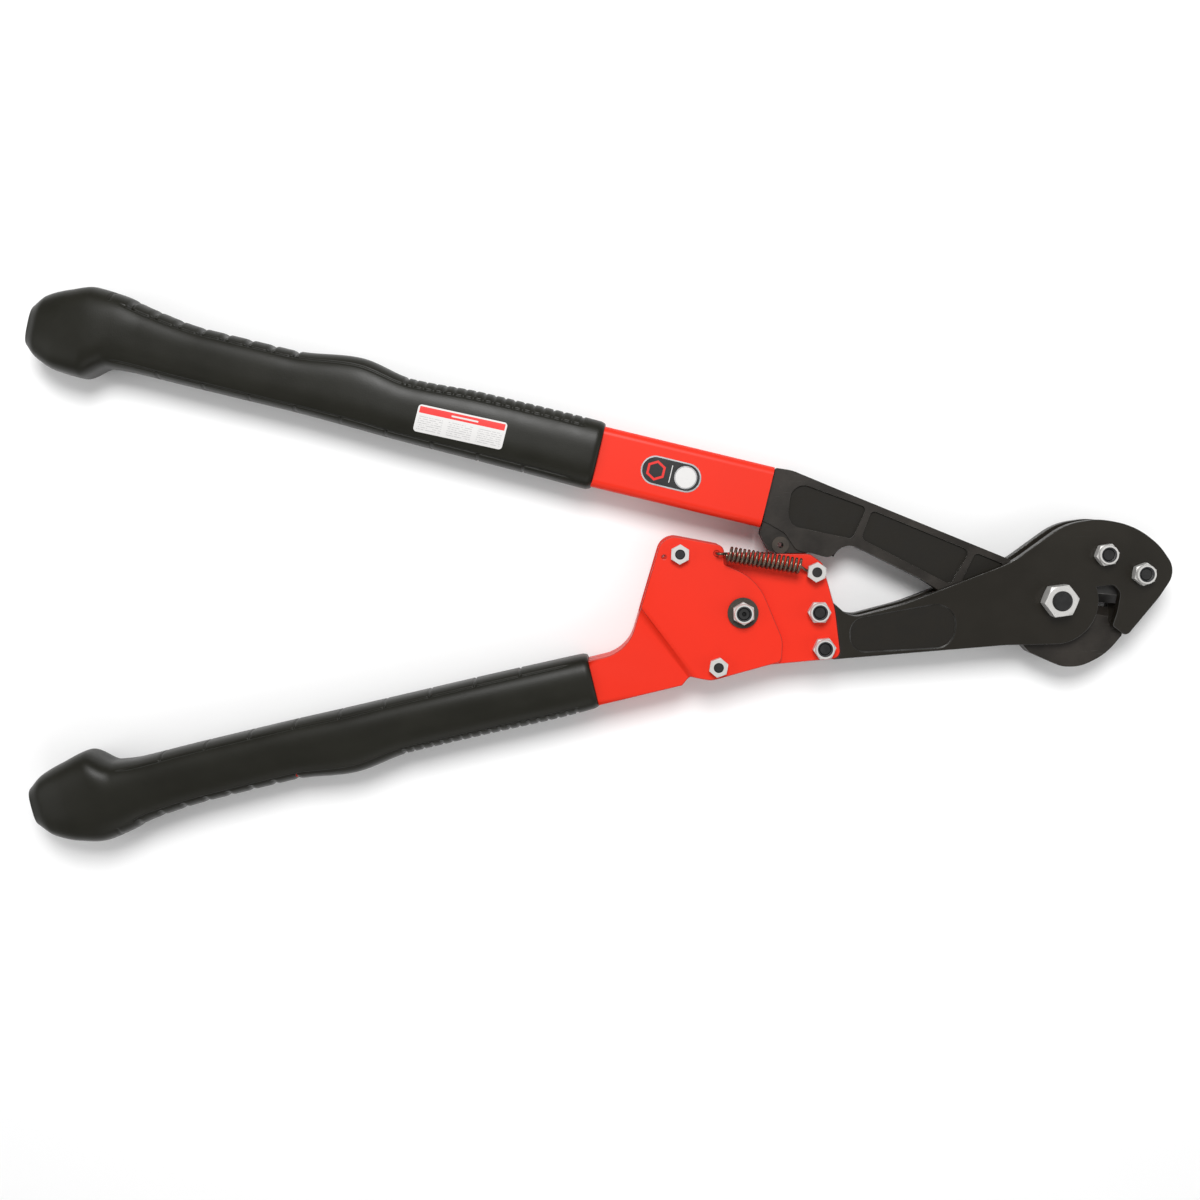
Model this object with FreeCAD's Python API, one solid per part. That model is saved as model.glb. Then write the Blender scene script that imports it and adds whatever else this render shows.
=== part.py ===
"""Ratcheting bolt cutters, lying flat.

The origin is on the main pivot's axis, in the plane that the tool rests on. +X points
to the head's nose, +Y to the side of the upper handle, +Z up from the resting plane.
All sizes are in millimetres. Levels called "off" are measured from the mid plane, MID_Z.
"""
import FreeCAD
import Part
import math
import os

V = FreeCAD.Vector

# ---- driving dimensions ---------------------------------------------------------------
MID_Z = 21.0                 # height of the tool's mid plane above the resting plane
BLADE_HALF = 6.5             # half thickness of the forged blade arm
HEAD_IN = 6.7                # inner and outer levels of the two head plates
HEAD_OUT = 13.1
HOUSING_IN = 10.1            # the ratchet housing's two side plates
LEVER_IN = 13.3              # the lever's two plates, outside the housing
LEVER_OUT = 16.3
SHEET = 3.0                  # sheet thickness of housing, lever and tube
TUBE_HALF = 12.0             # half thickness of both handle tubes
TUBE_WIDTH = 39.5            # the upper handle's tube
TUBE_CORNER = 5.0
LEVER_TUBE_EDGES = (-13.6, 16.0)   # the lever's tube: inner and outer edge off the grip's axis

PIVOT_BOLT_D = 12.7          # half inch bolt, its nut and its bush
PIVOT_NUT_AF = 19.05
PIVOT_HEAD_H = MID_Z - HEAD_OUT
BUSH_D = 19.0
RUNNING = 0.05               # radial clearance of the running fits
BOLT_D = 7.94                # 5/16 inch bolts with locking nuts
BOLT_AF = 12.7
SMALL_D = 6.35               # quarter inch bolts with plain nuts
SMALL_AF = 11.1
SLACK = 0.1                  # radial clearance of a bolt in its hole

LEVER_PIVOT = (-200.1, -8.0)
LEVER_SLEEVE_D = 11.0
LEVER_BOLTS = [(-240.4, 29.4), (-215.6, -42.7)]
SPRING_HOLE = (-217.0, 29.9)
LOCK_HOLE = (-250.4, 27.6)
LOCK_HOLE_D = 2.6
STUD = (-153.8, 18.1)
HOUSING_BOLTS = [(-151.6, -7.6), (-148.1, -30.9)]
JAW_BOLTS = [(29.5, 29.0), (53.4, 16.7)]

RACK_PIN = (-175.4, 34.8)
RACK_PIN_D = 6.4
RACK_PIN_HOLE_D = 3.8
RACK_HALF = 2.5              # half thickness of the rack and the pawls
RACK_TIP_R = 183.0           # tooth tips, teeth roots and inner edge, about the main pivot
RACK_ROOT_R = 180.7
RACK_INNER_R = 173.5
RACK_END_DEG = 191.5
TOOTH_PITCH = 3.6
PAWL_PIN_D = 4.4
PIN_SEAT = 2.0               # how deep the pawls' pins sit in their plates
DRIVE_PIN_R = 12.5           # the drive pawl's pin, about the lever's pivot
DRIVE_PIN_DEG = -50.0
LEVER_TRAVEL = 30.0          # degrees that the lever swings open
DRIVE_PAWL = (13.0, -39.5)   # length and direction of the drive pawl at rest
HOLD_PIN = (-195.0, 13.5)
HOLD_PAWL = (15.0, -40.2)
JAW_EDGE_DEG = -4.4          # the fixed cutting edge lies on this ray from the pivot
BLADE_EDGE_DEG = -8.6        # the moving cutting edge, at rest

UPPER_AXIS = ((-292.3, 91.35), 166.43)    # grip's mouth, and the direction to its knob
LOWER_AXIS = ((-295.6, -52.75), 193.6)
GRIP_TUBE = 300.0            # how deep the tubes run into the grips
SWAGE = (18.0, 60.0)         # where the upper tube narrows inside the grip, and its width there
SWAGED_WIDTH = 27.0
GRIP_BORE_CORNER = 4.0       # rounding of the lever's tube and its grip's bore
TUBE_REACH = 111.0           # from the upper grip's mouth to the forging's shoulder

# Grip stations: distance from the mouth, outer edge, inner edge, half thickness.
UPPER_GRIP = [
    (0.0, 21.6, -20.6, 15.6), (4.0, 22.6, -22.0, 16.6), (30.0, 22.9, -21.4, 16.8),
    (80.0, 22.8, -20.5, 17.0), (127.0, 20.6, -19.8, 17.0), (161.0, 26.0, -18.6, 17.6),
    (206.0, 20.7, -17.6, 17.2), (262.0, 20.8, -17.6, 17.2), (300.0, 25.4, -17.4, 18.2),
    (318.0, 29.2, -18.4, 19.6), (335.0, 30.2, -28.6, 20.8), (350.0, 25.4, -27.8, 20.4),
    (364.0, 18.6, -23.0, 17.4), (372.0, 10.2, -16.8, 12.0),
]
LOWER_GRIP = [
    (0.0, 17.2, -16.6, 15.6), (4.0, 18.4, -17.6, 16.6), (30.0, 19.0, -18.1, 16.8),
    (80.0, 18.3, -18.8, 17.0), (127.0, 18.1, -19.1, 17.0), (164.0, 22.6, -19.4, 17.6),
    (206.0, 17.9, -19.9, 17.2), (262.0, 18.3, -20.0, 17.2), (300.0, 21.2, -19.6, 18.2),
    (318.0, 25.6, -21.4, 19.6), (335.0, 28.1, -32.2, 20.8), (350.0, 24.9, -29.0, 20.4),
    (366.0, 17.8, -24.2, 17.4), (376.0, 8.4, -17.6, 12.0),
]


# ---- outlines and solids --------------------------------------------------------------
def polar(radius, degrees, centre=(0.0, 0.0)):
    """The point at this radius and angle from a centre."""
    turn = math.radians(degrees)
    return (centre[0] + radius * math.cos(turn), centre[1] + radius * math.sin(turn))


def corner_arc(before, corner, after, radius):
    """Start, middle and end of the arc that rounds a corner."""
    to_before = (before - corner).normalize()
    to_after = (after - corner).normalize()
    half = to_before.getAngle(to_after) / 2
    reach = radius / math.tan(half)
    bisector = (to_before + to_after).normalize()
    centre = corner + bisector * (radius / math.sin(half))
    return corner + to_before * reach, centre - bisector * radius, corner + to_after * reach


def rounded_path(points, radii, closed):
    """Lines through the points, with each corner rounded to its radius."""
    count = len(points)
    arcs = {}
    stops = []
    for index, point in enumerate(points):
        inner = closed or 0 < index < count - 1
        if inner and radii[index] > 0:
            before = points[index - 1]
            after = points[(index + 1) % count]
            start, middle, end = corner_arc(before, point, after, radii[index])
            stops.append((start, end))
            arcs[index] = Part.Arc(start, middle, end).toShape()
        else:
            stops.append((point, point))
    path = []
    for index in range(count):
        if index in arcs:
            path.append(arcs[index])
        if index < count - 1 or closed:
            start = stops[index][1]
            end = stops[(index + 1) % count][0]
            if start.distanceToPoint(end) > 1e-6:
                path.append(Part.LineSegment(start, end).toShape())
    return Part.Wire(path)


def outline(corners, z=0.0):
    """A closed wire from (x, y) or (x, y, radius) corners."""
    points = [V(corner[0], corner[1], z) for corner in corners]
    radii = [corner[2] if len(corner) > 2 else 0.0 for corner in corners]
    return rounded_path(points, radii, True)


def prism(corners, low, high):
    """The outline as a plate between two levels off the mid plane."""
    face = Part.Face(outline(corners, MID_Z + low))
    return face.extrude(V(0, 0, high - low))


def disc(centre, diameter, low, high):
    """A cylinder along Z between two levels off the mid plane."""
    return Part.makeCylinder(diameter / 2, high - low, V(centre[0], centre[1], MID_Z + low))


def tube(centre, outer, bore, low, high):
    """A sleeve along Z between two levels off the mid plane."""
    return disc(centre, outer, low, high).cut(disc(centre, bore, low - 1, high + 1))


def drilled(shape, centres, diameter):
    """The shape with holes right through, along Z."""
    for centre in centres:
        shape = shape.cut(disc(centre, diameter, -30, 30))
    return shape


def flipped(shape):
    """The mirror image across the mid plane, for the rear plates."""
    return shape.mirror(V(0, 0, MID_Z), V(0, 0, 1))


def joined(shapes):
    """All the shapes fused into one solid."""
    first, *rest = shapes
    return first.multiFuse(rest).removeSplitter() if rest else first


def hexagon(across, height, turn):
    """A hexagonal prism with both ends chamfered, standing on z = 0."""
    corner = across / math.sqrt(3)
    points = [V(*polar(corner, turn + 60 * side), 0) for side in range(6)]
    block = Part.Face(Part.makePolygon(points + points[:1])).extrude(V(0, 0, height))
    rim = across * 0.485
    drop = (corner - rim) * math.tan(math.radians(30))
    profile = [V(0, 0, 0), V(rim, 0, 0), V(corner, 0, drop), V(corner, 0, height - drop)]
    profile += [V(rim, 0, height), V(0, 0, height)]
    turned = Part.Face(Part.makePolygon(profile + profile[:1])).revolve(V(0, 0, 0), V(0, 0, 1))
    return block.common(turned)


def plain_nut(centre, across, bore, low, height, turn):
    """A plain hexagon nut standing on the given level."""
    nut = hexagon(across, height, turn).cut(Part.makeCylinder(bore / 2 + SLACK / 2, height))
    nut.translate(V(centre[0], centre[1], MID_Z + low))
    return nut


def locking_nut(centre, low, turn):
    """A nut with a raised collar that holds its locking ring."""
    hex_height = 6.4
    full_height = 8.6
    nut = hexagon(BOLT_AF, hex_height, turn)
    collar = Part.makeCylinder(BOLT_AF * 0.495, full_height - 1.0)
    crown = Part.makeCone(BOLT_AF * 0.495, BOLT_AF * 0.46, 1.0, V(0, 0, full_height - 1.0))
    nut = joined([nut, collar, crown])
    nut = nut.cut(Part.makeCylinder(BOLT_D / 2 + SLACK / 2, full_height))
    nut = nut.cut(Part.makeCylinder(BOLT_D / 2 + 0.9, 1.6, V(0, 0, full_height - 1.6)))
    nut.translate(V(centre[0], centre[1], MID_Z + low))
    return nut


def bolt(centre, diameter, across, head_low, head_height, top, turn=0.0):
    """A hexagon bolt with its head at the bottom and a chamfered end at the top."""
    tip = diameter * 0.09
    head = hexagon(across, head_height, turn)
    shank_top = top - head_low
    shank = Part.makeCylinder(diameter / 2, shank_top - tip)
    end = Part.makeCone(diameter / 2, diameter / 2 - tip, tip, V(0, 0, shank_top - tip))
    body = joined([head, shank, end])
    body.translate(V(centre[0], centre[1], MID_Z + head_low))
    return body


def through_bolt(at):
    """A 5/16 inch bolt through both plates of the head or the housing."""
    return bolt(at, BOLT_D, BOLT_AF, -HEAD_OUT - 5.3, 5.3, HEAD_OUT + 7.4)


def rod(points, bend, diameter):
    """A round wire that follows the points, with its corners bent to a radius."""
    path = rounded_path(points, [bend] * len(points), False)
    start = points[0]
    along = (points[1] - points[0]).normalize()
    ring = Part.Wire(Part.Circle(start, along, diameter / 2).toShape())
    return path.makePipeShell([ring], True, True)


def coil(diameter, wire, pitch, turns):
    """A coil of round wire along +Z, whose first end lies on +X."""
    radius = (diameter - wire) / 2
    path = Part.makeHelix(pitch, pitch * turns, radius)
    along = V(0, 1, pitch / (2 * math.pi * radius))
    ring = Part.Wire(Part.Circle(V(radius, 0, 0), along, wire / 2).toShape())
    return Part.Wire(path).makePipeShell([ring], True, True)


def tube_frame(shape, axis=UPPER_AXIS):
    """Move a shape from a handle's own frame, with +X from the grip's mouth to its knob."""
    (x, y), direction = axis
    shape.rotate(V(0, 0, 0), V(0, 0, 1), direction)
    shape.translate(V(x, y, MID_Z))
    return shape


def bar(start, end, width, thickness, corner):
    """A bar along X with its four long edges rounded, centred on the X axis."""
    block = Part.makeBox(end - start, width, thickness, V(start, -width / 2, -thickness / 2))
    if corner == 0:
        return block
    long_edges = [edge for edge in block.Edges if abs(edge.tangentAt(edge.FirstParameter).x) > 0.9]
    return block.makeFillet(corner, long_edges)


# ---- head -----------------------------------------------------------------------------
BOSS_CENTRE = (-1.0, -1.0)   # the round boss of the side plates
BOSS_R = 27.4
HEAD_OUTLINE = [
    (-164.0, 1.0, 5.0), (-146.0, 1.6, 3.0), (-131.0, -11.6, 14.0), (-97.0, -2.6, 120.0),
    (-29.0, 24.0, 60.0), (4.0, 48.4, 40.0), (25.0, 51.6, 40.0), (47.8, 47.6, 50.0),
    (64.3, 34.6, 40.0), (75.4, 18.6, 14.0), (64.6, 1.6, 40.0), (44.6, -23.4, 3.5),
    (35.6, -16.4, 1.8), (38.2, -8.0, 16.0), (40.2, 4.4, 5.0), (36.2, 9.6, 4.0), (24.6, 8.4, 0.0),
    (0.0, 0.0, 0.0), (-3.0, -28.4, 0.0), (-31.8, -29.0, 60.0), (-138.8, -38.0, 0.0),
    (-164.0, -38.0, 5.0),
]
ARM_POCKET = [(-131.6, -12.6, 9.8), (-62.6, -0.2, 12.6), (-65.2, -30.4, 12.6), (-130.8, -34.0, 9.8)]
POCKET_DEPTH = 1.0
INSERT_OUTLINE_R = (22.6, 41.5)


def housing_blank(low, high, gap=0.0):
    """The housing plate's solid between two levels, with the head's side moved by a gap."""
    corners = [
        (-213.0, 29.4, 4.0), (-157.4 + gap, 29.4, 7.0), (-149.4 + gap, 23.6, 4.0),
        (-140.9 + gap, -6.0, 60.0), (-136.9 + gap, -37.4, 5.0), (-190.0, -42.4, 1.5),
        (-189.6, -36.0), (-200.1, -8.0), (-213.0, 18.0),
    ]
    return prism(corners, low, high).fuse(disc(LEVER_PIVOT, 59.2, low, high)).removeSplitter()


def head_plate_front():
    """A hooked side plate, stepped down where the housing's plate lies on its arm."""
    plate = prism(HEAD_OUTLINE, HEAD_IN, HEAD_OUT)
    plate = plate.fuse(disc(BOSS_CENTRE, 2 * BOSS_R, HEAD_IN, HEAD_OUT)).removeSplitter()
    plate = plate.cut(housing_blank(HOUSING_IN, HEAD_OUT + 1, 0.2))
    plate = plate.cut(prism(ARM_POCKET, HEAD_OUT - POCKET_DEPTH, HEAD_OUT + 1))
    plate = drilled(plate, [(0.0, 0.0)], PIVOT_BOLT_D + 2 * SLACK)
    return drilled(plate, JAW_BOLTS + HOUSING_BOLTS, BOLT_D + 2 * SLACK)


def bevel(degrees, side):
    """The wedge cut off a jaw's upper face: its edge lies on a ray, its back on one side."""
    reach = 7.0
    profile = [V(0, 0, MID_Z + 0.3), V(0, side * reach, MID_Z + 8), V(0, -side * 1, MID_Z + 8)]
    profile.append(V(0, -side * 1, MID_Z + 0.3))
    wedge = Part.Face(Part.makePolygon(profile + profile[:1])).extrude(V(42, 0, 0))
    wedge.rotate(V(0, 0, 0), V(0, 0, 1), degrees)
    return wedge


def jaw_insert():
    """The fixed cutting jaw between the side plates, bevelled to an edge on both faces."""
    inner, outer = INSERT_OUTLINE_R
    near = polar(inner, JAW_EDGE_DEG)
    far = polar(outer, JAW_EDGE_DEG)
    corners = [
        near, far, (46.0, 4.0, 3.0), (66.0, 12.0, 6.0), (58.0, 31.0, 10.0), (30.0, 44.0, 10.0),
        (13.0, 38.0, 4.0), polar(inner + 1.0, 66.0), (0.0, 0.0),
    ]
    jaw = prism(corners, -HEAD_IN, HEAD_IN)
    jaw = jaw.cut(disc((0.0, 0.0), 2 * inner, -10, 10))
    jaw = drilled(jaw, JAW_BOLTS, BOLT_D + 2 * SLACK)
    return jaw.cut(bevel(JAW_EDGE_DEG, 1)).cut(flipped(bevel(JAW_EDGE_DEG, 1)))


def jaw_bolts():
    """The two bolts through the side plates and the fixed jaw."""
    return [through_bolt(at) for at in JAW_BOLTS]


def jaw_nuts():
    """The locking nuts of the two jaw bolts."""
    return [locking_nut(at, HEAD_OUT, turn) for at, turn in zip(JAW_BOLTS, (10, 22))]


def main_pivot_bolt():
    """The main pivot bolt. The underside of its head is where the tool rests."""
    return bolt((0.0, 0.0), PIVOT_BOLT_D, PIVOT_NUT_AF, -MID_Z, PIVOT_HEAD_H, HEAD_OUT + 12.4, 8)


def main_pivot_nut():
    """The main pivot's nut."""
    return plain_nut((0.0, 0.0), PIVOT_NUT_AF, PIVOT_BOLT_D, HEAD_OUT, 11.0, 8)


def main_pivot_bushing():
    """The bush that spaces the side plates and that the blade arm turns on."""
    return tube((0.0, 0.0), BUSH_D, PIVOT_BOLT_D + 2 * SLACK, -HEAD_IN, HEAD_IN)


# ---- ratchet housing ------------------------------------------------------------------
def drive_slot(low, high):
    """The slot, round the lever's pivot, that the drive pawl's pin moves in."""
    half = PAWL_PIN_D / 2 + 0.4
    first = DRIVE_PIN_DEG - 1.5
    last = DRIVE_PIN_DEG + LEVER_TRAVEL + 1.5
    ring = tube(LEVER_PIVOT, 2 * (DRIVE_PIN_R + half), 2 * (DRIVE_PIN_R - half), low, high)
    reach = 2 * DRIVE_PIN_R
    rays = [(reach, first), (reach * 1.2, (first + last) / 2), (reach, last)]
    corners = [LEVER_PIVOT] + [polar(radius, turn, LEVER_PIVOT) for radius, turn in rays]
    ends = [polar(DRIVE_PIN_R, turn, LEVER_PIVOT) for turn in (first, last)]
    rounds = [disc(end, 2 * half, low, high) for end in ends]
    return joined([ring.common(prism(corners, low, high))] + rounds)


def housing_plate():
    """The housing's front plate; the rear one is its mirror image, without the stud's hole."""
    plate = housing_blank(HOUSING_IN, HEAD_OUT)
    plate = drilled(plate, [LEVER_PIVOT], LEVER_SLEEVE_D + 2 * RUNNING)
    plate = drilled(plate, HOUSING_BOLTS, BOLT_D + 2 * SLACK)
    plate = plate.cut(disc(HOLD_PIN, PAWL_PIN_D, HOUSING_IN - 1, HOUSING_IN + PIN_SEAT))
    return plate.cut(drive_slot(HOUSING_IN - 1, HEAD_OUT + 1))


def housing_plate_front():
    """The front plate, with the hole of the spring's stud."""
    return drilled(housing_plate(), [STUD], SMALL_D + 2 * SLACK)


def housing_bolts():
    """The two bolts through the housing and the ends of the head's arms."""
    return [through_bolt(at) for at in HOUSING_BOLTS]


def housing_nuts():
    """The locking nuts of the two housing bolts."""
    return [locking_nut(at, HEAD_OUT, turn) for at, turn in zip(HOUSING_BOLTS, (0, 6))]


def housing_spacers():
    """The sleeves that keep the ends of the head's arms apart."""
    return [tube(at, 13.0, BOLT_D + 2 * SLACK, -HEAD_IN, HEAD_IN) for at in HOUSING_BOLTS]


def spring_stud():
    """The stud on the front plate that holds the return spring's eye, under its nut."""
    head = disc(STUD, 9.0, HOUSING_IN - 2.2, HOUSING_IN)
    shank = disc(STUD, SMALL_D, HOUSING_IN - 1, HEAD_OUT + 7.8)
    collar = disc(STUD, 8.0, HEAD_OUT, HEAD_OUT + 0.4)
    return joined([head, shank, collar])


def spring_stud_nut():
    """The stud's nut."""
    return plain_nut(STUD, SMALL_AF, SMALL_D, HEAD_OUT + 2.8, 5.4, 85)


def hold_pawl_pin():
    """The holding pawl's pin, blind in both housing plates."""
    return disc(HOLD_PIN, PAWL_PIN_D, -HOUSING_IN - PIN_SEAT, HOUSING_IN + PIN_SEAT)


# ---- upper handle ---------------------------------------------------------------------
def blade_outline():
    """The forging in plan: shoulder, arm, round blade, cutting edge and nose."""
    edge_near = polar(19.0, BLADE_EDGE_DEG)
    edge_far = polar(37.2, BLADE_EDGE_DEG)
    return [
        (-178.9, 84.2, 1.5), (-168.5, 82.6, 24.0), (-140.0, 70.8, 90.0), (-26.3, 24.5, 20.0),
        (-4.0, 17.0), (0.0, 0.0), edge_near, edge_far, (34.4, -13.5, 3.0), (37.6, -18.6, 3.0),
        (45.2, -21.6, 2.0), (34.2, -35.4, 40.0), (18.0, -43.6, 26.0), (6.0, -43.6, 18.0),
        (-14.6, -34.5, 3.0), (-20.5, -28.2, 20.0), (-84.6, 12.8, 60.0), (-123.0, 31.6, 14.0),
        (-137.0, 38.2, 11.0), (-142.0, 25.8, 6.0), (-156.0, 29.8, 14.0), (-169.0, 29.6, 3.0),
        (-182.8, 31.0, 3.0), (-188.6, 42.0, 2.5),
    ]


FORGED_POCKETS = [
    [(-171.4, 47.6, 9.0), (-168.4, 76.4, 9.0), (-120.6, 58.9, 3.0), (-129.4, 38.6, 3.5)],
    [(-117.2, 57.2, 3.0), (-124.0, 38.8, 3.5), (-66.4, 9.4, 3.0), (-54.0, 31.2, 4.0)],
    [(-50.6, 30.0, 3.0), (-60.0, 10.2, 4.0), (-42.0, 0.6, 3.0), (-30.0, 21.4, 4.0)],
]
FORGED_FLOOR = BLADE_HALF - 1.6    # level of the pockets' floors
LUG_CUT = [
    (-200.0, 56.0), (-183.6, 49.0), (-172.6, 42.6, 8.0), (-165.4, 31.8, 6.0), (-150.0, 27.6),
    (-150.0, 10.0), (-200.0, 10.0),
]
LUG_HALF = 5.2
LUG_SLOT_HALF = 2.8


def rack_room():
    """The slot in the lug that the rack swings in."""
    corners = [
        (-200.0, 44.0), (-183.0, 44.6), (-163.0, 43.0), (-160.6, 36.0), (-164.6, 10.0), (-200.0, 10.0),
    ]
    return prism(corners, -LUG_SLOT_HALF, LUG_SLOT_HALF)


def blade_arm():
    """The forged arm: tang in the tube, pocketed web, forked lug and round blade."""
    arm = prism(blade_outline(), -BLADE_HALF, BLADE_HALF)
    arm = arm.fuse(disc((0.0, 0.0), 44.0, -BLADE_HALF, BLADE_HALF)).removeSplitter()
    cuts = [prism(pocket, FORGED_FLOOR, BLADE_HALF + 1) for pocket in FORGED_POCKETS]
    cuts.append(prism(LUG_CUT, LUG_HALF, BLADE_HALF + 1))
    arm = arm.cut(cuts + [flipped(cut) for cut in cuts])
    arm = arm.cut(rack_room())
    tang_width = TUBE_WIDTH - 2 * SHEET - 0.4
    tang = bar(-TUBE_REACH, -TUBE_REACH + 70.0, tang_width, 2 * (TUBE_HALF - SHEET) - 0.4, 2.0)
    neck = bar(-TUBE_REACH - 9.0, -TUBE_REACH + 5.0, tang_width - 8.0, 2 * BLADE_HALF - 0.4, 2.0)
    arm = arm.fuse([tube_frame(tang), tube_frame(neck)]).removeSplitter()
    arm = drilled(arm, [(0.0, 0.0)], BUSH_D + 2 * RUNNING)
    arm = drilled(arm, [RACK_PIN], RACK_PIN_D)
    return arm.cut(bevel(BLADE_EDGE_DEG, -1)).cut(flipped(bevel(BLADE_EDGE_DEG, -1)))


def handle_bar(start, end, inset):
    """The upper tube's solid, inset from its surface: wide, then swaged narrower in the grip."""
    thickness = 2 * (TUBE_HALF - inset)
    corner = TUBE_CORNER - inset
    wide = bar(start, SWAGE[0], TUBE_WIDTH - 2 * inset, thickness, corner)
    narrow = bar(SWAGE[1], end, SWAGED_WIDTH - 2 * inset, thickness, corner)
    wide_end = max(wide.Faces, key=lambda face: face.CenterOfMass.x).OuterWire
    narrow_end = min(narrow.Faces, key=lambda face: face.CenterOfMass.x).OuterWire
    return wide.fuse([Part.makeLoft([wide_end, narrow_end], True, True), narrow]).removeSplitter()


def upper_tube():
    """The upper handle's tube, from the forging's shoulder to deep inside the grip."""
    outer = handle_bar(-TUBE_REACH, GRIP_TUBE, 0)
    inner = handle_bar(-TUBE_REACH - 1, GRIP_TUBE + 1, SHEET)
    return tube_frame(outer.cut(inner))


def grip_section(station, sign):
    """A closed rounded section of a grip across its length."""
    along, outer, inner, half = station
    centre = sign * (outer + inner) / 2
    width = (outer - inner) / 2
    points = []
    for step in range(24):
        turn = 2 * math.pi * (step + 0.5) / 24
        cos, sin = math.cos(turn), math.sin(turn)
        y = math.copysign(abs(cos) ** 0.62, cos) * width
        z = math.copysign(abs(sin) ** 0.62, sin) * half
        points.append(V(along, centre + y, z))
    curve = Part.BSplineCurve()
    curve.interpolate(points, PeriodicFlag=True)
    return Part.Wire(curve.toShape())


def grip(stations, sign, bore):
    """A moulded grip with its knob, over the end of a handle tube."""
    body = Part.makeLoft([grip_section(station, sign) for station in stations], True, False)
    body = tube_frame(body.cut(bore), UPPER_AXIS if sign < 0 else LOWER_AXIS)
    resting = Part.makeBox(900, 600, 60, V(-800, -300, 0))
    return body.common(resting)


def upper_grip():
    """The upper handle's grip."""
    return grip(UPPER_GRIP, -1, handle_bar(-5, GRIP_TUBE, 0))


def rack_pin():
    """The hollow rivet that the rack hangs on, flanged over both ears of the lug."""
    pin = disc(RACK_PIN, RACK_PIN_D, -LUG_HALF - 1.0, LUG_HALF + 1.0)
    pin = pin.fuse(disc(RACK_PIN, 10.8, LUG_HALF, LUG_HALF + 1.0))
    pin = pin.fuse(disc(RACK_PIN, 10.8, -LUG_HALF - 1.0, -LUG_HALF))
    return drilled(pin.removeSplitter(), [RACK_PIN], RACK_PIN_HOLE_D)


# ---- ratchet --------------------------------------------------------------------------
def arc_about_pivot(radius, first, last):
    """An arc about the main pivot, on the plane z = 0."""
    turns = (first, (first + last) / 2, last)
    return Part.Arc(*[V(*polar(radius, turn), 0) for turn in turns]).toShape()


def ratchet_rack():
    """The curved rack: an eye on the rivet, and teeth whose steep faces look up."""
    start = math.degrees(math.atan2(RACK_PIN[1], RACK_PIN[0]))
    pitch = math.degrees(TOOTH_PITCH / RACK_TIP_R)
    first = start + 3.6
    count = int((RACK_END_DEG - first) / pitch)
    last = first + count * pitch
    corners = [polar(RACK_ROOT_R, first)]
    for tooth in range(count):
        top = first + tooth * pitch
        corners.append(polar(RACK_TIP_R, top + 0.04 * pitch))
        corners.append(polar(RACK_TIP_R, top + 0.16 * pitch))
        corners.append(polar(RACK_ROOT_R, top + pitch))
    corners.append(polar(RACK_INNER_R, last - 0.5))
    points = [V(*corner, 0) for corner in corners]
    closing = Part.LineSegment(V(*polar(RACK_INNER_R, start), 0), V(*polar(RACK_ROOT_R, start), 0))
    edges = [arc_about_pivot(RACK_ROOT_R, start, first)]
    edges += [Part.LineSegment(a, b).toShape() for a, b in zip(points, points[1:])]
    edges += [arc_about_pivot(RACK_INNER_R, last - 0.5, start), closing.toShape()]
    face = Part.Face(Part.Wire(edges))
    face.translate(V(0, 0, MID_Z - RACK_HALF))
    body = face.extrude(V(0, 0, 2 * RACK_HALF))
    body = body.fuse(disc(RACK_PIN, 13.0, -RACK_HALF, RACK_HALF)).removeSplitter()
    return drilled(body, [RACK_PIN], RACK_PIN_D + 2 * RUNNING)


def pawl(pin, length, direction, boss):
    """A pawl: a round boss on its pin, and a body that narrows to a nose."""
    nose = polar(length, direction, pin)
    side = boss * 0.9
    corners = [
        polar(side, direction + 90, pin), polar(0.5, direction + 62, nose), nose,
        polar(2.6, direction - 128, nose), polar(side, direction - 90, pin),
    ]
    body = prism(corners, -RACK_HALF, RACK_HALF)
    body = body.fuse(disc(pin, 2 * boss, -RACK_HALF, RACK_HALF)).removeSplitter()
    return drilled(body, [pin], PAWL_PIN_D + 2 * RUNNING)


def pawl_spring(pin, length, direction):
    """A small torsion spring beside its pawl, with one leg along it and one leg back."""
    wire = 0.9
    outer = 7.4
    turns = coil(outer, wire, 1.15, 3)
    turns.rotate(V(0, 0, 0), V(0, 0, 1), direction + 90)
    turns.translate(V(pin[0], pin[1], MID_Z + RACK_HALF + 0.75))
    radius = (outer - wire) / 2
    legs = []
    for level, turn, reach in ((0.75, direction + 90, length * 0.55), (4.2, direction + 90, -4.2)):
        start = V(*polar(radius, turn, pin), MID_Z + RACK_HALF + level)
        step = V(*polar(reach, direction), 0)
        legs.append(Part.makeCylinder(wire / 2, abs(reach), start, step))
        legs.append(Part.makeSphere(wire / 2, start))
    return joined([turns] + legs)


def drive_pin_centre():
    """Where the drive pawl's pin stands at rest."""
    return polar(DRIVE_PIN_R, DRIVE_PIN_DEG, LEVER_PIVOT)


# ---- lever ----------------------------------------------------------------------------
FLARE_CORNER = (-26.0, 26.0)       # distance past the grip's mouth, and rounding
HEEL_CORNER = (-55.0, 2.0)
LEVER_OUTLINE_HEAD = [
    (-251.3, 42.2, 11.0), (-212.3, 34.8, 5.0), (-212.3, 23.0, 2.0),
    (-190.9, 13.5, 35.0), (-174.4, -25.5, 18.0), (-175.2, -39.3, 4.0), (-220.0, -51.8, 14.0),
    (-233.5, -49.3, 3.0),
]
RAMP_LOW_END = (-230.7, -49.0)     # where the ramp meets the plate's lower edge
RAMP_DIRECTION = (-0.603, 0.798)
RAMP_RUN = 3.6


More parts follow.
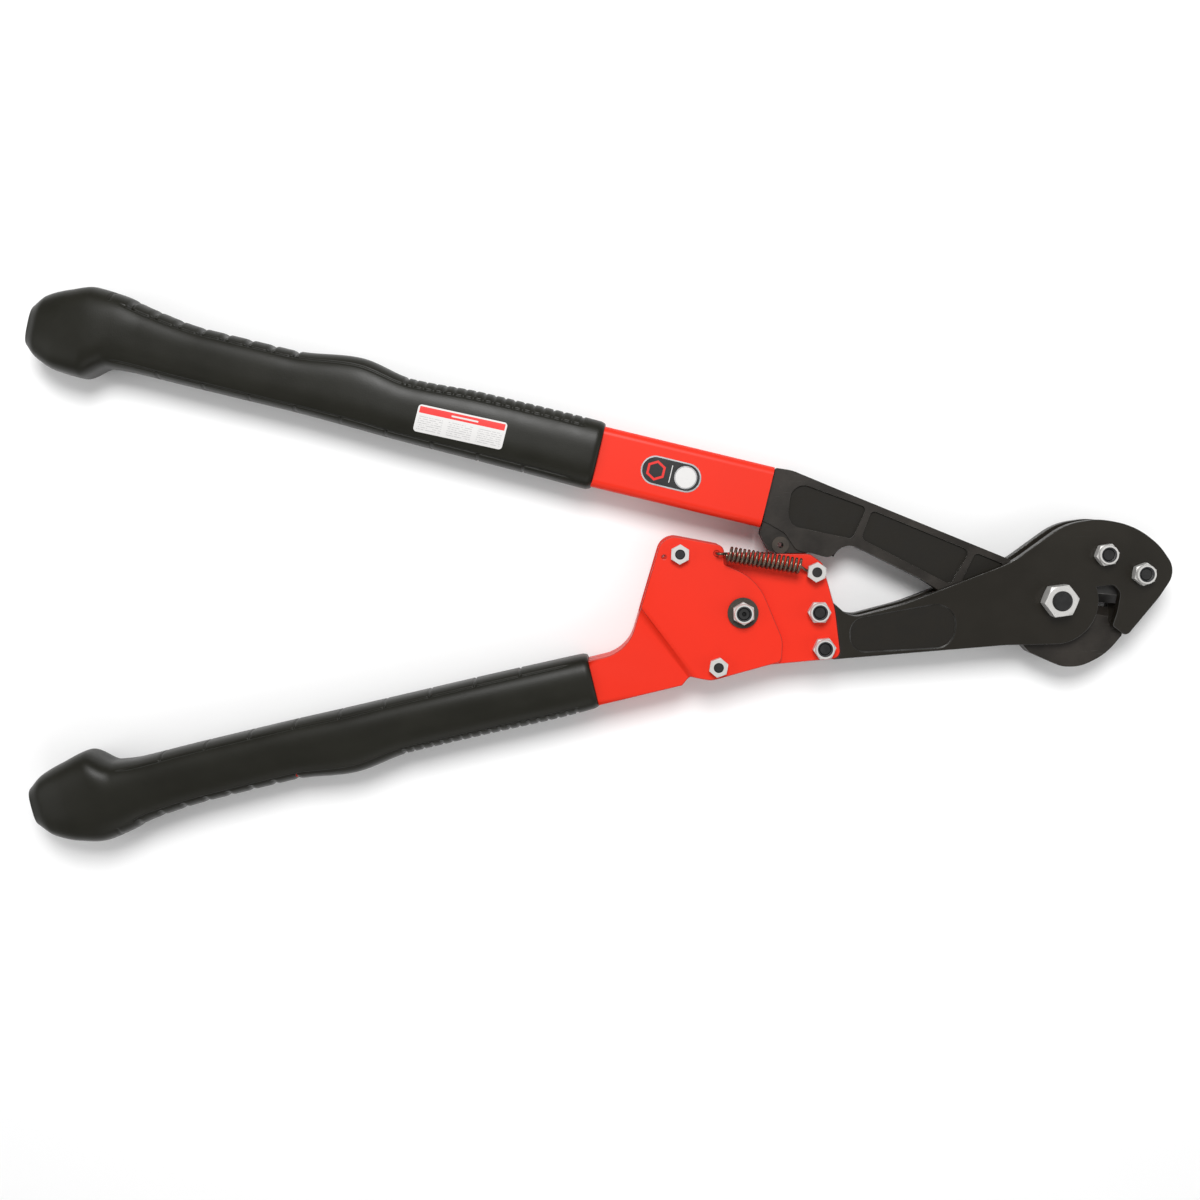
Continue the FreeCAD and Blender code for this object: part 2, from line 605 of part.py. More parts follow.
def tube_corner(edge, along, rounding=0.0):
    """An outline corner on one edge of the lever's tube, at a distance into the grip."""
    mouth, direction = LOWER_AXIS
    return polar(edge, direction + 90, polar(along, direction, mouth)) + (rounding,)


def lever_outline():
    """The lever in plan: its wide plate and the tube half that runs into the grip."""
    inner, outer = LEVER_TUBE_EDGES
    flare = tube_corner(inner, *FLARE_CORNER)
    heel = tube_corner(outer, *HEEL_CORNER)
    ends = [tube_corner(edge, GRIP_TUBE) for edge in (outer, inner)]
    return [flare] + LEVER_OUTLINE_HEAD + [heel] + ends


def across_ramp(profile):
    """A solid with this profile of (distance past the ramp, level), along the ramp's line."""
    points = [V(distance, 0, level) for distance, level in profile]
    face = Part.Face(Part.makePolygon(points + points[:1]))
    solid = face.extrude(V(0, 500, 0))
    solid.translate(V(0, -250, 0))
    turn = math.degrees(math.atan2(RAMP_DIRECTION[1], RAMP_DIRECTION[0])) - 90
    solid.rotate(V(0, 0, 0), V(0, 0, 1), turn)
    solid.translate(V(RAMP_LOW_END[0], RAMP_LOW_END[1], MID_Z))
    return solid


def tube_solid(start, end, extra, corner):
    """The lever's tube as a solid bar, widened by an extra all round."""
    inner, outer = LEVER_TUBE_EDGES
    block = bar(start, end, outer - inner + 2 * extra, 2 * (TUBE_HALF + extra), corner)
    block.translate(V(0, (outer + inner) / 2, 0))
    return block


def lever_shell():
    """One pressed half of the lever: plate over the housing, ramp, and half of a tube."""
    blank = prism(lever_outline(), 0, LEVER_OUT)
    sheet = across_ramp([
        (-500, TUBE_HALF - SHEET), (-RAMP_RUN - 0.5, TUBE_HALF - SHEET), (-0.7, LEVER_IN),
        (100, LEVER_IN), (100, LEVER_OUT), (0, LEVER_OUT), (-RAMP_RUN, TUBE_HALF), (-500, TUBE_HALF),
    ])
    wall = Part.Face(outline(lever_outline(), MID_Z))
    room = wall.makeOffset2D(-SHEET).extrude(V(0, 0, TUBE_HALF))
    wall = wall.extrude(V(0, 0, TUBE_HALF)).cut(room)
    past = across_ramp([(-500, 0), (-RAMP_RUN, 0), (-RAMP_RUN, TUBE_HALF), (-500, TUBE_HALF)])
    wall = wall.common(past)
    shell = joined([blank.common(sheet), wall])
    rounding = tube_solid(0.0, GRIP_TUBE + 1, 1.0, 0)
    rounding = rounding.cut(tube_solid(-1.0, GRIP_TUBE + 2, 0.0, GRIP_BORE_CORNER))
    shell = shell.cut(tube_frame(rounding, LOWER_AXIS))
    shell = drilled(shell, LEVER_BOLTS, SMALL_D + 2 * SLACK)
    shell = drilled(shell, [LEVER_PIVOT], BOLT_D + 2 * SLACK)
    shell = drilled(shell, [LOCK_HOLE], LOCK_HOLE_D)
    return shell.cut(disc(drive_pin_centre(), PAWL_PIN_D, LEVER_IN - 1, LEVER_IN + PIN_SEAT))


def lever_shell_front():
    """The front half, with the hole of the return spring's hook."""
    return drilled(lever_shell(), [SPRING_HOLE], 3.4)


def lower_grip():
    """The lever's grip."""
    return grip(LOWER_GRIP, 1, tube_solid(-5, GRIP_TUBE, 0.0, GRIP_BORE_CORNER))


def lever_bolts():
    """The two bolts that clamp the lever's halves."""
    low = -LEVER_OUT - 4.0
    return [bolt(at, SMALL_D, SMALL_AF, low, 4.0, LEVER_OUT + 5.2) for at in LEVER_BOLTS]


def lever_nuts():
    """Their plain nuts."""
    turns = zip(LEVER_BOLTS, (88, 20))
    return [plain_nut(at, SMALL_AF, SMALL_D, LEVER_OUT, 5.5, turn) for at, turn in turns]


def lever_spacers():
    """The sleeves that keep the lever's plates apart."""
    return [tube(at, 10.0, SMALL_D + 2 * SLACK, -LEVER_IN, LEVER_IN) for at in LEVER_BOLTS]


def lever_pivot_sleeve():
    """The sleeve between the lever's plates that turns in the housing."""
    return tube(LEVER_PIVOT, LEVER_SLEEVE_D, BOLT_D + 2 * SLACK, -LEVER_IN, LEVER_IN)


def lever_pivot_bolt():
    """The lever's pivot bolt, with a low head and a centre-drilled end."""
    body = bolt(LEVER_PIVOT, BOLT_D, BOLT_AF, -LEVER_OUT - 4.2, 4.2, LEVER_OUT + 1.6 + 8.0)
    top = MID_Z + LEVER_OUT + 1.6 + 8.0
    drill = Part.makeCone(0.4, 1.5, 1.6, V(LEVER_PIVOT[0], LEVER_PIVOT[1], top - 1.6))
    return body.cut(drill)


def lever_pivot_nut():
    """Its locking nut, on the washer."""
    return locking_nut(LEVER_PIVOT, LEVER_OUT + 1.6, 32)


def lever_pivot_washer():
    """The washer under the pivot's nut."""
    return tube(LEVER_PIVOT, 19.6, BOLT_D + 2 * SLACK, LEVER_OUT, LEVER_OUT + 1.6)


def drive_pawl_pin():
    """The drive pawl's pin, blind in both lever plates, through the housing's slots."""
    return disc(drive_pin_centre(), PAWL_PIN_D, -LEVER_IN - PIN_SEAT, LEVER_IN + PIN_SEAT)


# ---- return spring --------------------------------------------------------------------
SPRING_LEVEL = 22.2          # the coil's axis, off the mid plane
SPRING_D = 10.6
SPRING_WIRE = 1.6
SPRING_TURNS = 17
EYE_R = 4.1                  # the eye's centre line, about the stud
SPRING_START = (-210.6, 29.7)
SPRING_END = (-164.2, 21.9)


def spring_hook(start, radius):
    """The spring's hook, from the coil's end down into the lever's hole."""
    hole = V(SPRING_HOLE[0], SPRING_HOLE[1], start.z)
    points = [
        start - V(0, 0, radius), start + (hole - start) * 0.28 - V(0, 0, radius * 0.2),
        hole + (start - hole) * 0.30, hole - V(0.2, 0, 0.4), V(hole.x, hole.y, MID_Z + LEVER_IN + 0.6),
    ]
    return rod(points, 1.4, SPRING_WIRE)


def spring_eye(end, radius):
    """The spring's eye, from the coil's end round the stud."""
    level = MID_Z + HEAD_OUT + 1.4
    corner = EYE_R / math.cos(math.radians(30))
    points = [end - V(0, 0, radius), V(STUD[0] - 5.6, STUD[1] - 4.6, level + 0.8)]
    points += [V(*polar(corner, turn, STUD), level) for turn in (-90, -30, 30, 90, 150)]
    return rod(points, 1.2, SPRING_WIRE)


def return_spring():
    """The pull spring from the lever's hole to the housing's stud, with both its hooks."""
    start = V(*SPRING_START, MID_Z + SPRING_LEVEL)
    end = V(*SPRING_END, MID_Z + SPRING_LEVEL)
    run = start.distanceToPoint(end)
    turns = coil(SPRING_D, SPRING_WIRE, run / SPRING_TURNS, SPRING_TURNS)
    turns.rotate(V(0, 0, 0), V(0, 1, 0), 90)
    turns.rotate(V(0, 0, 0), V(0, 0, 1), math.degrees(math.atan2(end.y - start.y, end.x - start.x)))
    turns.translate(start)
    radius = (SPRING_D - SPRING_WIRE) / 2
    return joined([turns, spring_hook(start, radius), spring_eye(end, radius)])


# ---- all the nodes --------------------------------------------------------------------
def write(name, shape):
    """Save one node; a list of like solids is saved as one compound."""
    if isinstance(shape, list):
        shape = Part.makeCompound(shape)
    if shape.ShapeType == "Compound" and len(shape.Solids) == 1:
        shape = shape.Solids[0]
    if not shape.isValid():
        raise ValueError(name + " is not a valid solid")
    shape.exportStep("parts/" + name + ".step")
    print(f"{name:22s} solids {len(shape.Solids)} volume {shape.Volume:9.1f}")


NODES = [
    head_plate_front, jaw_insert, jaw_bolts, jaw_nuts, main_pivot_bolt, main_pivot_nut, main_pivot_bushing,
    housing_plate_front, housing_bolts, housing_nuts, housing_spacers, spring_stud, spring_stud_nut,
    hold_pawl_pin, blade_arm, upper_tube, upper_grip, rack_pin, ratchet_rack, lever_shell_front, lower_grip,
    lever_bolts, lever_nuts, lever_spacers, lever_pivot_sleeve, lever_pivot_bolt, lever_pivot_nut,
    lever_pivot_washer, drive_pawl_pin, return_spring,
]


def main():
    """Build and save every node."""
    os.makedirs("parts", exist_ok=True)
    for build in NODES:
        write(build.__name__, build())
    write("head_plate_rear", flipped(head_plate_front()))
    write("housing_plate_rear", flipped(housing_plate()))
    write("lever_shell_rear", flipped(lever_shell()))
    drive = (drive_pin_centre(),) + DRIVE_PAWL
    hold = (HOLD_PIN,) + HOLD_PAWL
    write("drive_pawl", pawl(*drive, 4.4))
    write("drive_pawl_spring", pawl_spring(*drive))
    write("hold_pawl", pawl(*hold, 4.6))
    write("hold_pawl_spring", pawl_spring(*hold))


main()
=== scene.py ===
"""Ratcheting bolt cutters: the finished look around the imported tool, laid out as an add-on."""
import math

import bmesh
import bpy
import numpy as np
from bpy.props import FloatProperty, FloatVectorProperty, IntProperty, PointerProperty
from mathutils import Matrix, Vector


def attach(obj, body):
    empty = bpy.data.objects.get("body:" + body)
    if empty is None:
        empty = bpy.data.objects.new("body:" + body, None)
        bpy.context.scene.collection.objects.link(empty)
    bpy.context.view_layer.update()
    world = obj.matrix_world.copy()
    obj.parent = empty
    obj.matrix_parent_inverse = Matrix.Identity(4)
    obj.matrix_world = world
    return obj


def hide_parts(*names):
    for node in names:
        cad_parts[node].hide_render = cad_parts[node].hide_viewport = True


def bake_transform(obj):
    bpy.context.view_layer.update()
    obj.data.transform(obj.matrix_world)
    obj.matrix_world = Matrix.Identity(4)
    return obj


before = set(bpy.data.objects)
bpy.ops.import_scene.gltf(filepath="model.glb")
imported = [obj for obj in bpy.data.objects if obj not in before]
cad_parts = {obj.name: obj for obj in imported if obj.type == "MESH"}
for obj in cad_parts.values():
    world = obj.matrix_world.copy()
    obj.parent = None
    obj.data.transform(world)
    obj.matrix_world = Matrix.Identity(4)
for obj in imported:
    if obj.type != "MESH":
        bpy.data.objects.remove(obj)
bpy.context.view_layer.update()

bl_info = {
    "name": "Ratcheting bolt cutters",
    "version": (1, 0, 0),
    "blender": (4, 5, 0),
    "location": "3D View > Sidebar > Bolt cutters",
    "description": "Builds the finished pieces of a pair of ratcheting bolt cutters",
    "category": "Object",
}

MM = 0.001
MID_Z = 21.0 * MM                 # mid plane of the tool above the floor
HEAD_TOP = MID_Z + 13.1 * MM      # outer faces of the front plates
LEVER_TOP = MID_Z + 16.3 * MM
TUBE_TOP = MID_Z + 12.0 * MM
FOLD_LEVELS = (12.0 * MM, 16.3 * MM)   # where the lever's sheet bends, off the mid plane
ARM_POCKET_FLOOR = 4.9 * MM       # pocket floors, off the mid plane
PLATE_POCKET_FLOOR = 12.1 * MM
WASHER = 1.6 * MM
FOLD_WIDTH = 2.3 * MM             # how wide the lever's pressed bends are
WELD = 0.002 * MM                 # points nearer than this are one
FLAT = 0.6                        # degrees between faces that count as one flat face
SHARP = 38.0                      # degrees between faces that meet at an edge
STEEPEST_FOLD = 62.0              # degrees that the lever's sheet bends by, at most
RIM_SLOT, FLOOR_SLOT = 1, 2       # finishes of broken edges (wear, with a painted highlight or shade) and of pocket floors
NUT_SEAT = 7.6 * MM               # from a nut's base to its locking ring
LOCKING_RING = (4.38 * MM, 0.95 * MM)  # radius and thickness
EYE_RADIUS = 4.0 * MM             # of the spring's eye, round the stud

JAW_BOLTS = [(29.5, 29.0), (53.4, 16.7)]
HOUSING_BOLTS = [(-151.6, -7.6), (-148.1, -30.9)]
LEVER_PIVOT = (-200.1, -8.0)
SPRING_HOLE = (-217.0, 29.9)
STUD = (-153.8, 18.1)
SPRING_ENDS = ((-210.6, 29.7), (-164.2, 21.9))
SPRING_LEVEL = MID_Z + 22.2 * MM

UPPER_MOUTH, UPPER_TURN = (-292.3, 91.35), 166.43
LOWER_MOUTH, LOWER_TURN = (-295.6, -52.75), 193.6
# Grip stations: distance from the mouth, outer edge, inner edge, half thickness.
UPPER_GRIP = [
    (0.0, 21.6, -20.6, 15.6), (4.0, 22.6, -22.0, 16.6), (30.0, 22.9, -21.4, 16.8),
    (80.0, 22.8, -20.5, 17.0), (127.0, 20.6, -19.8, 17.0), (161.0, 26.0, -18.6, 17.6),
    (206.0, 20.7, -17.6, 17.2), (262.0, 20.8, -17.6, 17.2), (300.0, 25.4, -17.4, 18.2),
    (318.0, 29.2, -18.4, 19.6), (335.0, 30.2, -28.6, 20.8), (350.0, 25.4, -27.8, 20.4),
    (364.0, 18.6, -23.0, 17.4), (372.0, 10.2, -16.8, 12.0),
]
LOWER_GRIP = [
    (0.0, 17.2, -16.6, 15.6), (4.0, 18.4, -17.6, 16.6), (30.0, 19.0, -18.1, 16.8),
    (80.0, 18.3, -18.8, 17.0), (127.0, 18.1, -19.1, 17.0), (164.0, 22.6, -19.4, 17.6),
    (206.0, 17.9, -19.9, 17.2), (262.0, 18.3, -20.0, 17.2), (300.0, 21.2, -19.6, 18.2),
    (318.0, 25.6, -21.4, 19.6), (335.0, 28.1, -32.2, 20.8), (350.0, 24.9, -29.0, 20.4),
    (366.0, 17.8, -24.2, 17.4), (376.0, 8.4, -17.6, 12.0),
]
SECTION_POWER = 0.62              # how square a grip's section is: 1 is an ellipse
OUTER_SEAM = 51.5                 # where the moulded strips end, degrees round the section
INNER_SEAM = 45.6


# ---- settings -------------------------------------------------------------------------
def length(name, description, default):
    """A length in metres that a user may change."""
    return FloatProperty(
        name=name, description=description, default=default, min=0.0, unit="LENGTH", precision=5
    )


def colour(name, description, default):
    """A colour that a user may change."""
    return FloatVectorProperty(
        name=name, description=description, default=default, size=3, min=0.0, max=1.0, subtype="COLOR"
    )


class CutterSizes(bpy.types.PropertyGroup):
    """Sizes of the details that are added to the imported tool."""

    rim: length("Broken edge", "Width of the broken edges of the plates", 0.35 * MM)
    pressed_rim: length("Pressed edge", "Width of the rounded edges of the painted sheet", 0.6 * MM)
    fine_pitch: length("Fine rib pitch", "Pitch of the fine ribs near the grip's mouth", 6.4 * MM)
    coarse_pitch: length("Coarse rib pitch", "Pitch of the finger scallops", 15.3 * MM)
    panel_pitch: length("Panel pitch", "Pitch of the notches on the grip's inner side", 30.0 * MM)
    groove_depth: length("Groove depth", "Depth of the grip's grooves", 0.9 * MM)
    spring_diameter: length("Spring diameter", "Outer diameter of the return spring", 10.6 * MM)
    spring_wire: length("Spring wire", "Diameter of the spring's wire", 1.9 * MM)
    spring_turns: IntProperty(name="Spring turns", description="Turns of the coil", default=17, min=3)
    label_length: length("Label length", "Length of the grip's label", 57.4 * MM)
    label_width: length("Label width", "Width of the grip's label", 17.4 * MM)
    badge_length: length("Badge length", "Length of the tube's badge", 39.0 * MM)
    badge_width: length("Badge width", "Width of the tube's badge", 18.6 * MM)


class CutterColours(bpy.types.PropertyGroup):
    """Colours of the finishes."""

    paint: colour("Paint", "Red paint of tube, lever and housing", (0.75, 0.026, 0.0092))
    plate: colour("Plate", "Black finish of the head plates", (0.0096, 0.0076, 0.0044))
    forging: colour("Forging", "Worn black finish of the forged arm", (0.0140, 0.0117, 0.0095))
    rubber: colour("Rubber", "Moulded grips", (0.0073, 0.0070, 0.0038))
    zinc: colour("Zinc", "Bright nuts and washers", (0.62, 0.61, 0.59))
    oxide: colour("Black oxide", "Dark bolts and pins", (0.009, 0.009, 0.009))
    spring: colour("Spring steel", "Oiled spring wire", (0.20, 0.14, 0.105))
    bronze: colour("Bronze", "Bushes and sleeves", (0.42, 0.27, 0.12))
    steel: colour("Ratchet steel", "Rack, pawls and jaws", (0.30, 0.29, 0.28))
    label: colour("Label", "White of the label", (0.68, 0.67, 0.66))
    band: colour("Band", "Red of the label and the badge", (0.72, 0.020, 0.016))


class CutterStage(bpy.types.PropertyGroup):
    """Light and floor."""

    floor: colour("Floor", "Colour of the floor", (0.93, 0.93, 0.93))
    key: FloatProperty(name="Key light", description="Power of the main lamp", default=22.0, unit="POWER")
    fill: FloatProperty(name="Fill light", description="Power of the side lamps", default=3.0, unit="POWER")
    sky: FloatProperty(name="Sky", description="Strength of the surrounding light", default=0.40, min=0.0)


def settings(name):
    """One group of settings of the scene."""
    return getattr(bpy.context.scene, "cutter_" + name)


# ---- shader groups --------------------------------------------------------------------
def add_node(tree, kind, inputs=None, **attributes):
    """A node with its attributes set and its inputs given a value or joined to a socket."""
    node = tree.nodes.new(kind)
    for key, value in attributes.items():
        setattr(node, key, value)
    for key, value in (inputs or {}).items():
        if isinstance(value, bpy.types.NodeSocket):
            tree.links.new(value, node.inputs[key])
        else:
            node.inputs[key].default_value = value
    return node


def new_group(name, kind, inputs, outputs):
    """An empty node group with named sockets, and its two end nodes."""
    tree = bpy.data.node_groups.new(name, kind)
    for direction, sockets in (("INPUT", inputs), ("OUTPUT", outputs)):
        for label, socket_type, *default in sockets:
            made = tree.interface.new_socket(
                label, in_out=direction, socket_type="NodeSocket" + socket_type)
            if default:
                made.default_value = default[0]
    return tree, tree.nodes.new("NodeGroupInput").outputs, tree.nodes.new("NodeGroupOutput").inputs


def maths(tree, operation, first, second=0.0):
    """One sum on two values or sockets."""
    return add_node(tree, "ShaderNodeMath", {0: first, 1: second}, operation=operation).outputs[0]


def mixed(tree, share, below, above):
    """A colour laid over another, by a share from 0 to 1."""
    return add_node(tree, "ShaderNodeMix", {0: share, 6: below, 7: above}, data_type="RGBA").outputs[2]


def noise(tree, place, scale, detail, roughness=0.5):
    """Soft noise from 0 to 1."""
    return add_node(tree, "ShaderNodeTexNoise", {
        "Vector": place, "Scale": scale, "Detail": detail, "Roughness": roughness,
    }).outputs["Fac"]


def mottle_group():
    """Two colours mixed in soft patches, as handled metal and paint show."""
    tree, given, out = new_group(
        "Mottle", "ShaderNodeTree",
        [("Colour", "Color"), ("Patch Colour", "Color"), ("Scale", "Float", 40.0), ("Amount", "Float", 0.5)],
        [("Colour", "Color"), ("Mask", "Float")],
    )
    place = add_node(tree, "ShaderNodeTexCoord").outputs["Object"]
    broad = noise(tree, place, given["Scale"], 6.0, 0.62)
    spread = add_node(tree, "ShaderNodeMapRange", {
        "Value": broad, "From Min": 0.40, "From Max": 0.64, "To Max": given["Amount"],
    }).outputs["Result"]
    tree.links.new(mixed(tree, spread, given["Colour"], given["Patch Colour"]), out["Colour"])
    tree.links.new(spread, out["Mask"])


def grain_group():
    """A fine relief that can be stretched one way, as brushing or moulding leaves it."""
    tree, given, out = new_group(
        "Fine Grain", "ShaderNodeTree",
        [("Scale", "Float", 900.0), ("Stretch", "Vector", (1.0, 1.0, 1.0)), ("Depth", "Float", 0.0001)],
        [("Normal", "Vector")],
    )
    place = add_node(tree, "ShaderNodeTexCoord").outputs["Object"]
    stretched = add_node(tree, "ShaderNodeVectorMath", {0: place, 1: given["Stretch"]}, operation="MULTIPLY")
    height = noise(tree, stretched.outputs[0], given["Scale"], 3.0, 0.55)
    bump = add_node(tree, "ShaderNodeBump", {"Strength": 0.6, "Distance": given["Depth"], "Height": height})
    tree.links.new(bump.outputs["Normal"], out["Normal"])


def scuff_group():
    """Thin broken scratches and rubbed spots, as a mask."""
    tree, given, out = new_group(
        "Scuffs", "ShaderNodeTree",
        [("Scale", "Float", 60.0), ("Turn", "Vector", (0.0, 0.0, 0.4)), ("Coverage", "Float", 0.3)],
        [("Mask", "Float")],
    )
    place = add_node(tree, "ShaderNodeTexCoord").outputs["Object"]
    turned = add_node(tree, "ShaderNodeMapping", {
        "Vector": place, "Rotation": given["Turn"], "Scale": (1.0, 14.0, 3.0),
    }).outputs["Vector"]
    lines = noise(tree, turned, given["Scale"], 4.0, 0.7)
    rubbed = noise(tree, place, 22.0, 3.0)
    sharp = add_node(tree, "ShaderNodeMapRange", {
        "Value": lines, "From Min": 0.60, "From Max": 0.72,
    }).outputs["Result"]
    where = add_node(tree, "ShaderNodeMapRange", {
        "Value": rubbed, "From Min": 0.45, "From Max": 0.70,
    }).outputs["Result"]
    both = maths(tree, "MULTIPLY", sharp, where)
    tree.links.new(maths(tree, "MULTIPLY", both, given["Coverage"]), out["Mask"])


def finish(name, base, patch, rough, metal=0.0, patches=(40.0, 0.6), grain=(900.0, 0.00004),
           stretch=(1.0, 1.0, 1.0), scuffs=0.2, scuff_colour=None, coat=0.0, specular=0.5):
    """A surface with patches of a second colour, fine grain and scuffs, all in place on the tool."""
    made = bpy.data.materials.new("finish_" + name)
    made.use_nodes = True
    tree = made.node_tree
    shader = tree.nodes["Principled BSDF"]
    mottle = add_node(tree, "ShaderNodeGroup", {
        "Colour": (*base, 1.0), "Patch Colour": (*patch, 1.0), "Scale": patches[0], "Amount": patches[1],
    }, node_tree=bpy.data.node_groups["Mottle"])
    relief = add_node(tree, "ShaderNodeGroup", {
        "Scale": grain[0], "Depth": grain[1], "Stretch": stretch,
    }, node_tree=bpy.data.node_groups["Fine Grain"])
    marks = add_node(tree, "ShaderNodeGroup", {"Coverage": scuffs}, node_tree=bpy.data.node_groups["Scuffs"])
    rubbed = tuple(scuff_colour or [min(1.0, c * 2.5 + 0.02) for c in base])
    seen = mixed(tree, marks.outputs["Mask"], mottle.outputs["Colour"], (*rubbed, 1.0))
    gloss = add_node(tree, "ShaderNodeMapRange", {
        "Value": mottle.outputs["Mask"], "To Min": rough - 0.05, "To Max": rough + 0.09,
    }).outputs["Result"]
    tree.links.new(seen, shader.inputs["Base Color"])
    tree.links.new(gloss, shader.inputs["Roughness"])
    tree.links.new(relief.outputs["Normal"], shader.inputs["Normal"])
    shader.inputs["Metallic"].default_value = metal
    shader.inputs["Coat Weight"].default_value = coat
    shader.inputs["Coat Roughness"].default_value = 0.12
    shader.inputs["Specular IOR Level"].default_value = specular
    return made


def finish_named(name):
    """A finish of this script, which the frame's own materials can't stand in for."""
    return bpy.data.materials["finish_" + name]


def print_material(white, red):
    """The label's face: a red band, a pale rule in it, and three columns of grey broken rules."""
    made = finish("label_print", white, [c * 0.93 for c in white], 0.35, scuffs=0.05, coat=0.3)
    tree = made.node_tree
    shader = tree.nodes["Principled BSDF"]
    ground = shader.inputs["Base Color"].links[0].from_socket
    place = add_node(tree, "ShaderNodeUVMap", uv_map="label").outputs["UV"]
    axes = add_node(tree, "ShaderNodeSeparateXYZ", {0: place}).outputs

    def within(value, low, high):
        return times(maths(tree, "GREATER_THAN", value, low), maths(tree, "LESS_THAN", value, high))

    def times(first, second):
        return maths(tree, "MULTIPLY", first, second)

    def over(mask, below, tint):
        return mixed(tree, mask, below, (*tint, 1.0))

    band = times(within(axes[0], 0.02, 0.98), within(axes[1], 0.70, 0.94))
    rule = times(within(axes[0], 0.38, 0.68), within(axes[1], 0.785, 0.845))
    rows = maths(tree, "FRACT", times(axes[1], 13.0))
    columns = maths(tree, "FRACT", times(axes[0], 3.0))
    cells = add_node(tree, "ShaderNodeVectorMath", {0: place, 1: (60.0, 13.0, 1.0)}, operation="MULTIPLY")
    breaks = noise(tree, cells.outputs[0], 1.0, 1.0)
    lines = times(times(within(rows, 0.30, 0.62), within(columns, 0.09, 0.91)), within(axes[1], 0.08, 0.62))
    lines = times(times(lines, within(breaks, 0.44, 1.0)), 0.45)
    seen = over(lines, over(rule, over(band, ground, red), [c * 0.95 for c in white]), (0.16, 0.16, 0.17))
    tree.links.new(seen, shader.inputs["Base Color"])
    return made


# ---- mesh helpers ---------------------------------------------------------------------
def add_piece(name, mesh, materials):
    """A new object for a finished mesh, at the origin."""
    piece = bpy.data.objects.new(name, mesh)
    bpy.context.scene.collection.objects.link(piece)
    for made in materials:
        mesh.materials.append(finish_named(made))
    return piece


def settle(piece):
    """Turn the piece's live modifiers into a plain mesh and drop them."""
    evaluated = piece.evaluated_get(bpy.context.evaluated_depsgraph_get())
    made = bpy.data.meshes.new_from_object(evaluated)
    piece.modifiers.clear()
    piece.data = made
    made.name = piece.name
    return piece


def shade_smooth(mesh):
    """Shade every face smooth."""
    mesh.polygons.foreach_set("use_smooth", [True] * len(mesh.polygons))


def turn_outwards(mesh):
    """Make every face point out of the closed mesh."""
    shape = bmesh.new()
    shape.from_mesh(mesh)
    bmesh.ops.recalc_face_normals(shape, faces=shape.faces)
    shape.to_mesh(mesh)
    shape.free()


def welded(node):
    """A CAD node's mesh with its loose triangles joined and its flat faces made whole."""
    source = bpy.data.objects[node].data
    mesh = bpy.data.meshes.new(node)
    mesh.from_pydata([v.co for v in source.vertices], [], [p.vertices for p in source.polygons])
    shape = bmesh.new()
    shape.from_mesh(mesh)
    bmesh.ops.remove_doubles(shape, verts=shape.verts, dist=WELD)
    bmesh.ops.dissolve_limit(shape, angle_limit=math.radians(FLAT), verts=shape.verts, edges=shape.edges)
    shape.to_mesh(mesh)
    shape.free()
    shade_smooth(mesh)
    return mesh


def is_corner(edge):
    """Whether two faces meet sharply here, and not where a grip hides them."""
    middle = (edge.verts[0].co + edge.verts[1].co) / 2
    hidden = (local_to_tool(LOWER_MOUTH, LOWER_TURN).inverted() @ middle).x > -1.5 * MM
    return math.degrees(edge.calc_face_angle(0.0)) > SHARP and not hidden


def is_fold(edge):
    """Whether the lever's sheet bends along this edge of its outer side."""
    levels = [abs(vert.co.z - MID_Z) for vert in edge.verts]
    outside = any(all(abs(level - fold) < 0.05 * MM for level in levels) for fold in FOLD_LEVELS)
    return outside and SHARP < math.degrees(edge.calc_face_angle(0.0)) < STEEPEST_FOLD


def bevelled(piece, width, segments, chosen, slot=-1, clamp=False):
    """Bevel the edges of a piece that a test picks out."""
    shape = bmesh.new()
    shape.from_mesh(piece.data)
    weights = shape.edges.layers.float.get("bevel_weight_edge")
    weights = weights or shape.edges.layers.float.new("bevel_weight_edge")
    for edge in shape.edges:
        edge[weights] = float(chosen(edge))
    shape.to_mesh(piece.data)
    shape.free()
    bevel = piece.modifiers.new("Bevel", "BEVEL")
    bevel.width = width
    bevel.segments = segments
    bevel.limit_method = "WEIGHT"
    bevel.use_clamp_overlap = clamp
    bevel.harden_normals = slot >= 0
    bevel.material = slot
    settle(piece)


def edged(node, body, width, materials, floors=(), fold=0.0, clamp=False):
    """A copy of a plate with broken edges in their own finish, which paints a highlight or shade on them along
    with wear, and its pocket floors in another.
    """
    piece = add_piece(node + "_edged", welded(node), materials)
    if fold:
        bevelled(piece, fold, 6, is_fold)
    bevelled(piece, width, 2, is_corner, slot=RIM_SLOT, clamp=clamp)
    for face in piece.data.polygons:
        if abs(face.normal.z) > 0.99 and any(abs(face.center.z - level) < 0.1 * MM for level in floors):
            face.material_index = FLOOR_SLOT
    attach(piece, body)
    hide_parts(node)
    return piece


def local_to_tool(mouth, turn):
    """From a handle's own frame, +X to its knob, to the tool's frame."""
    move = Matrix.Translation((mouth[0] * MM, mouth[1] * MM, MID_Z))
    return move @ Matrix.Rotation(math.radians(turn), 4, "Z")


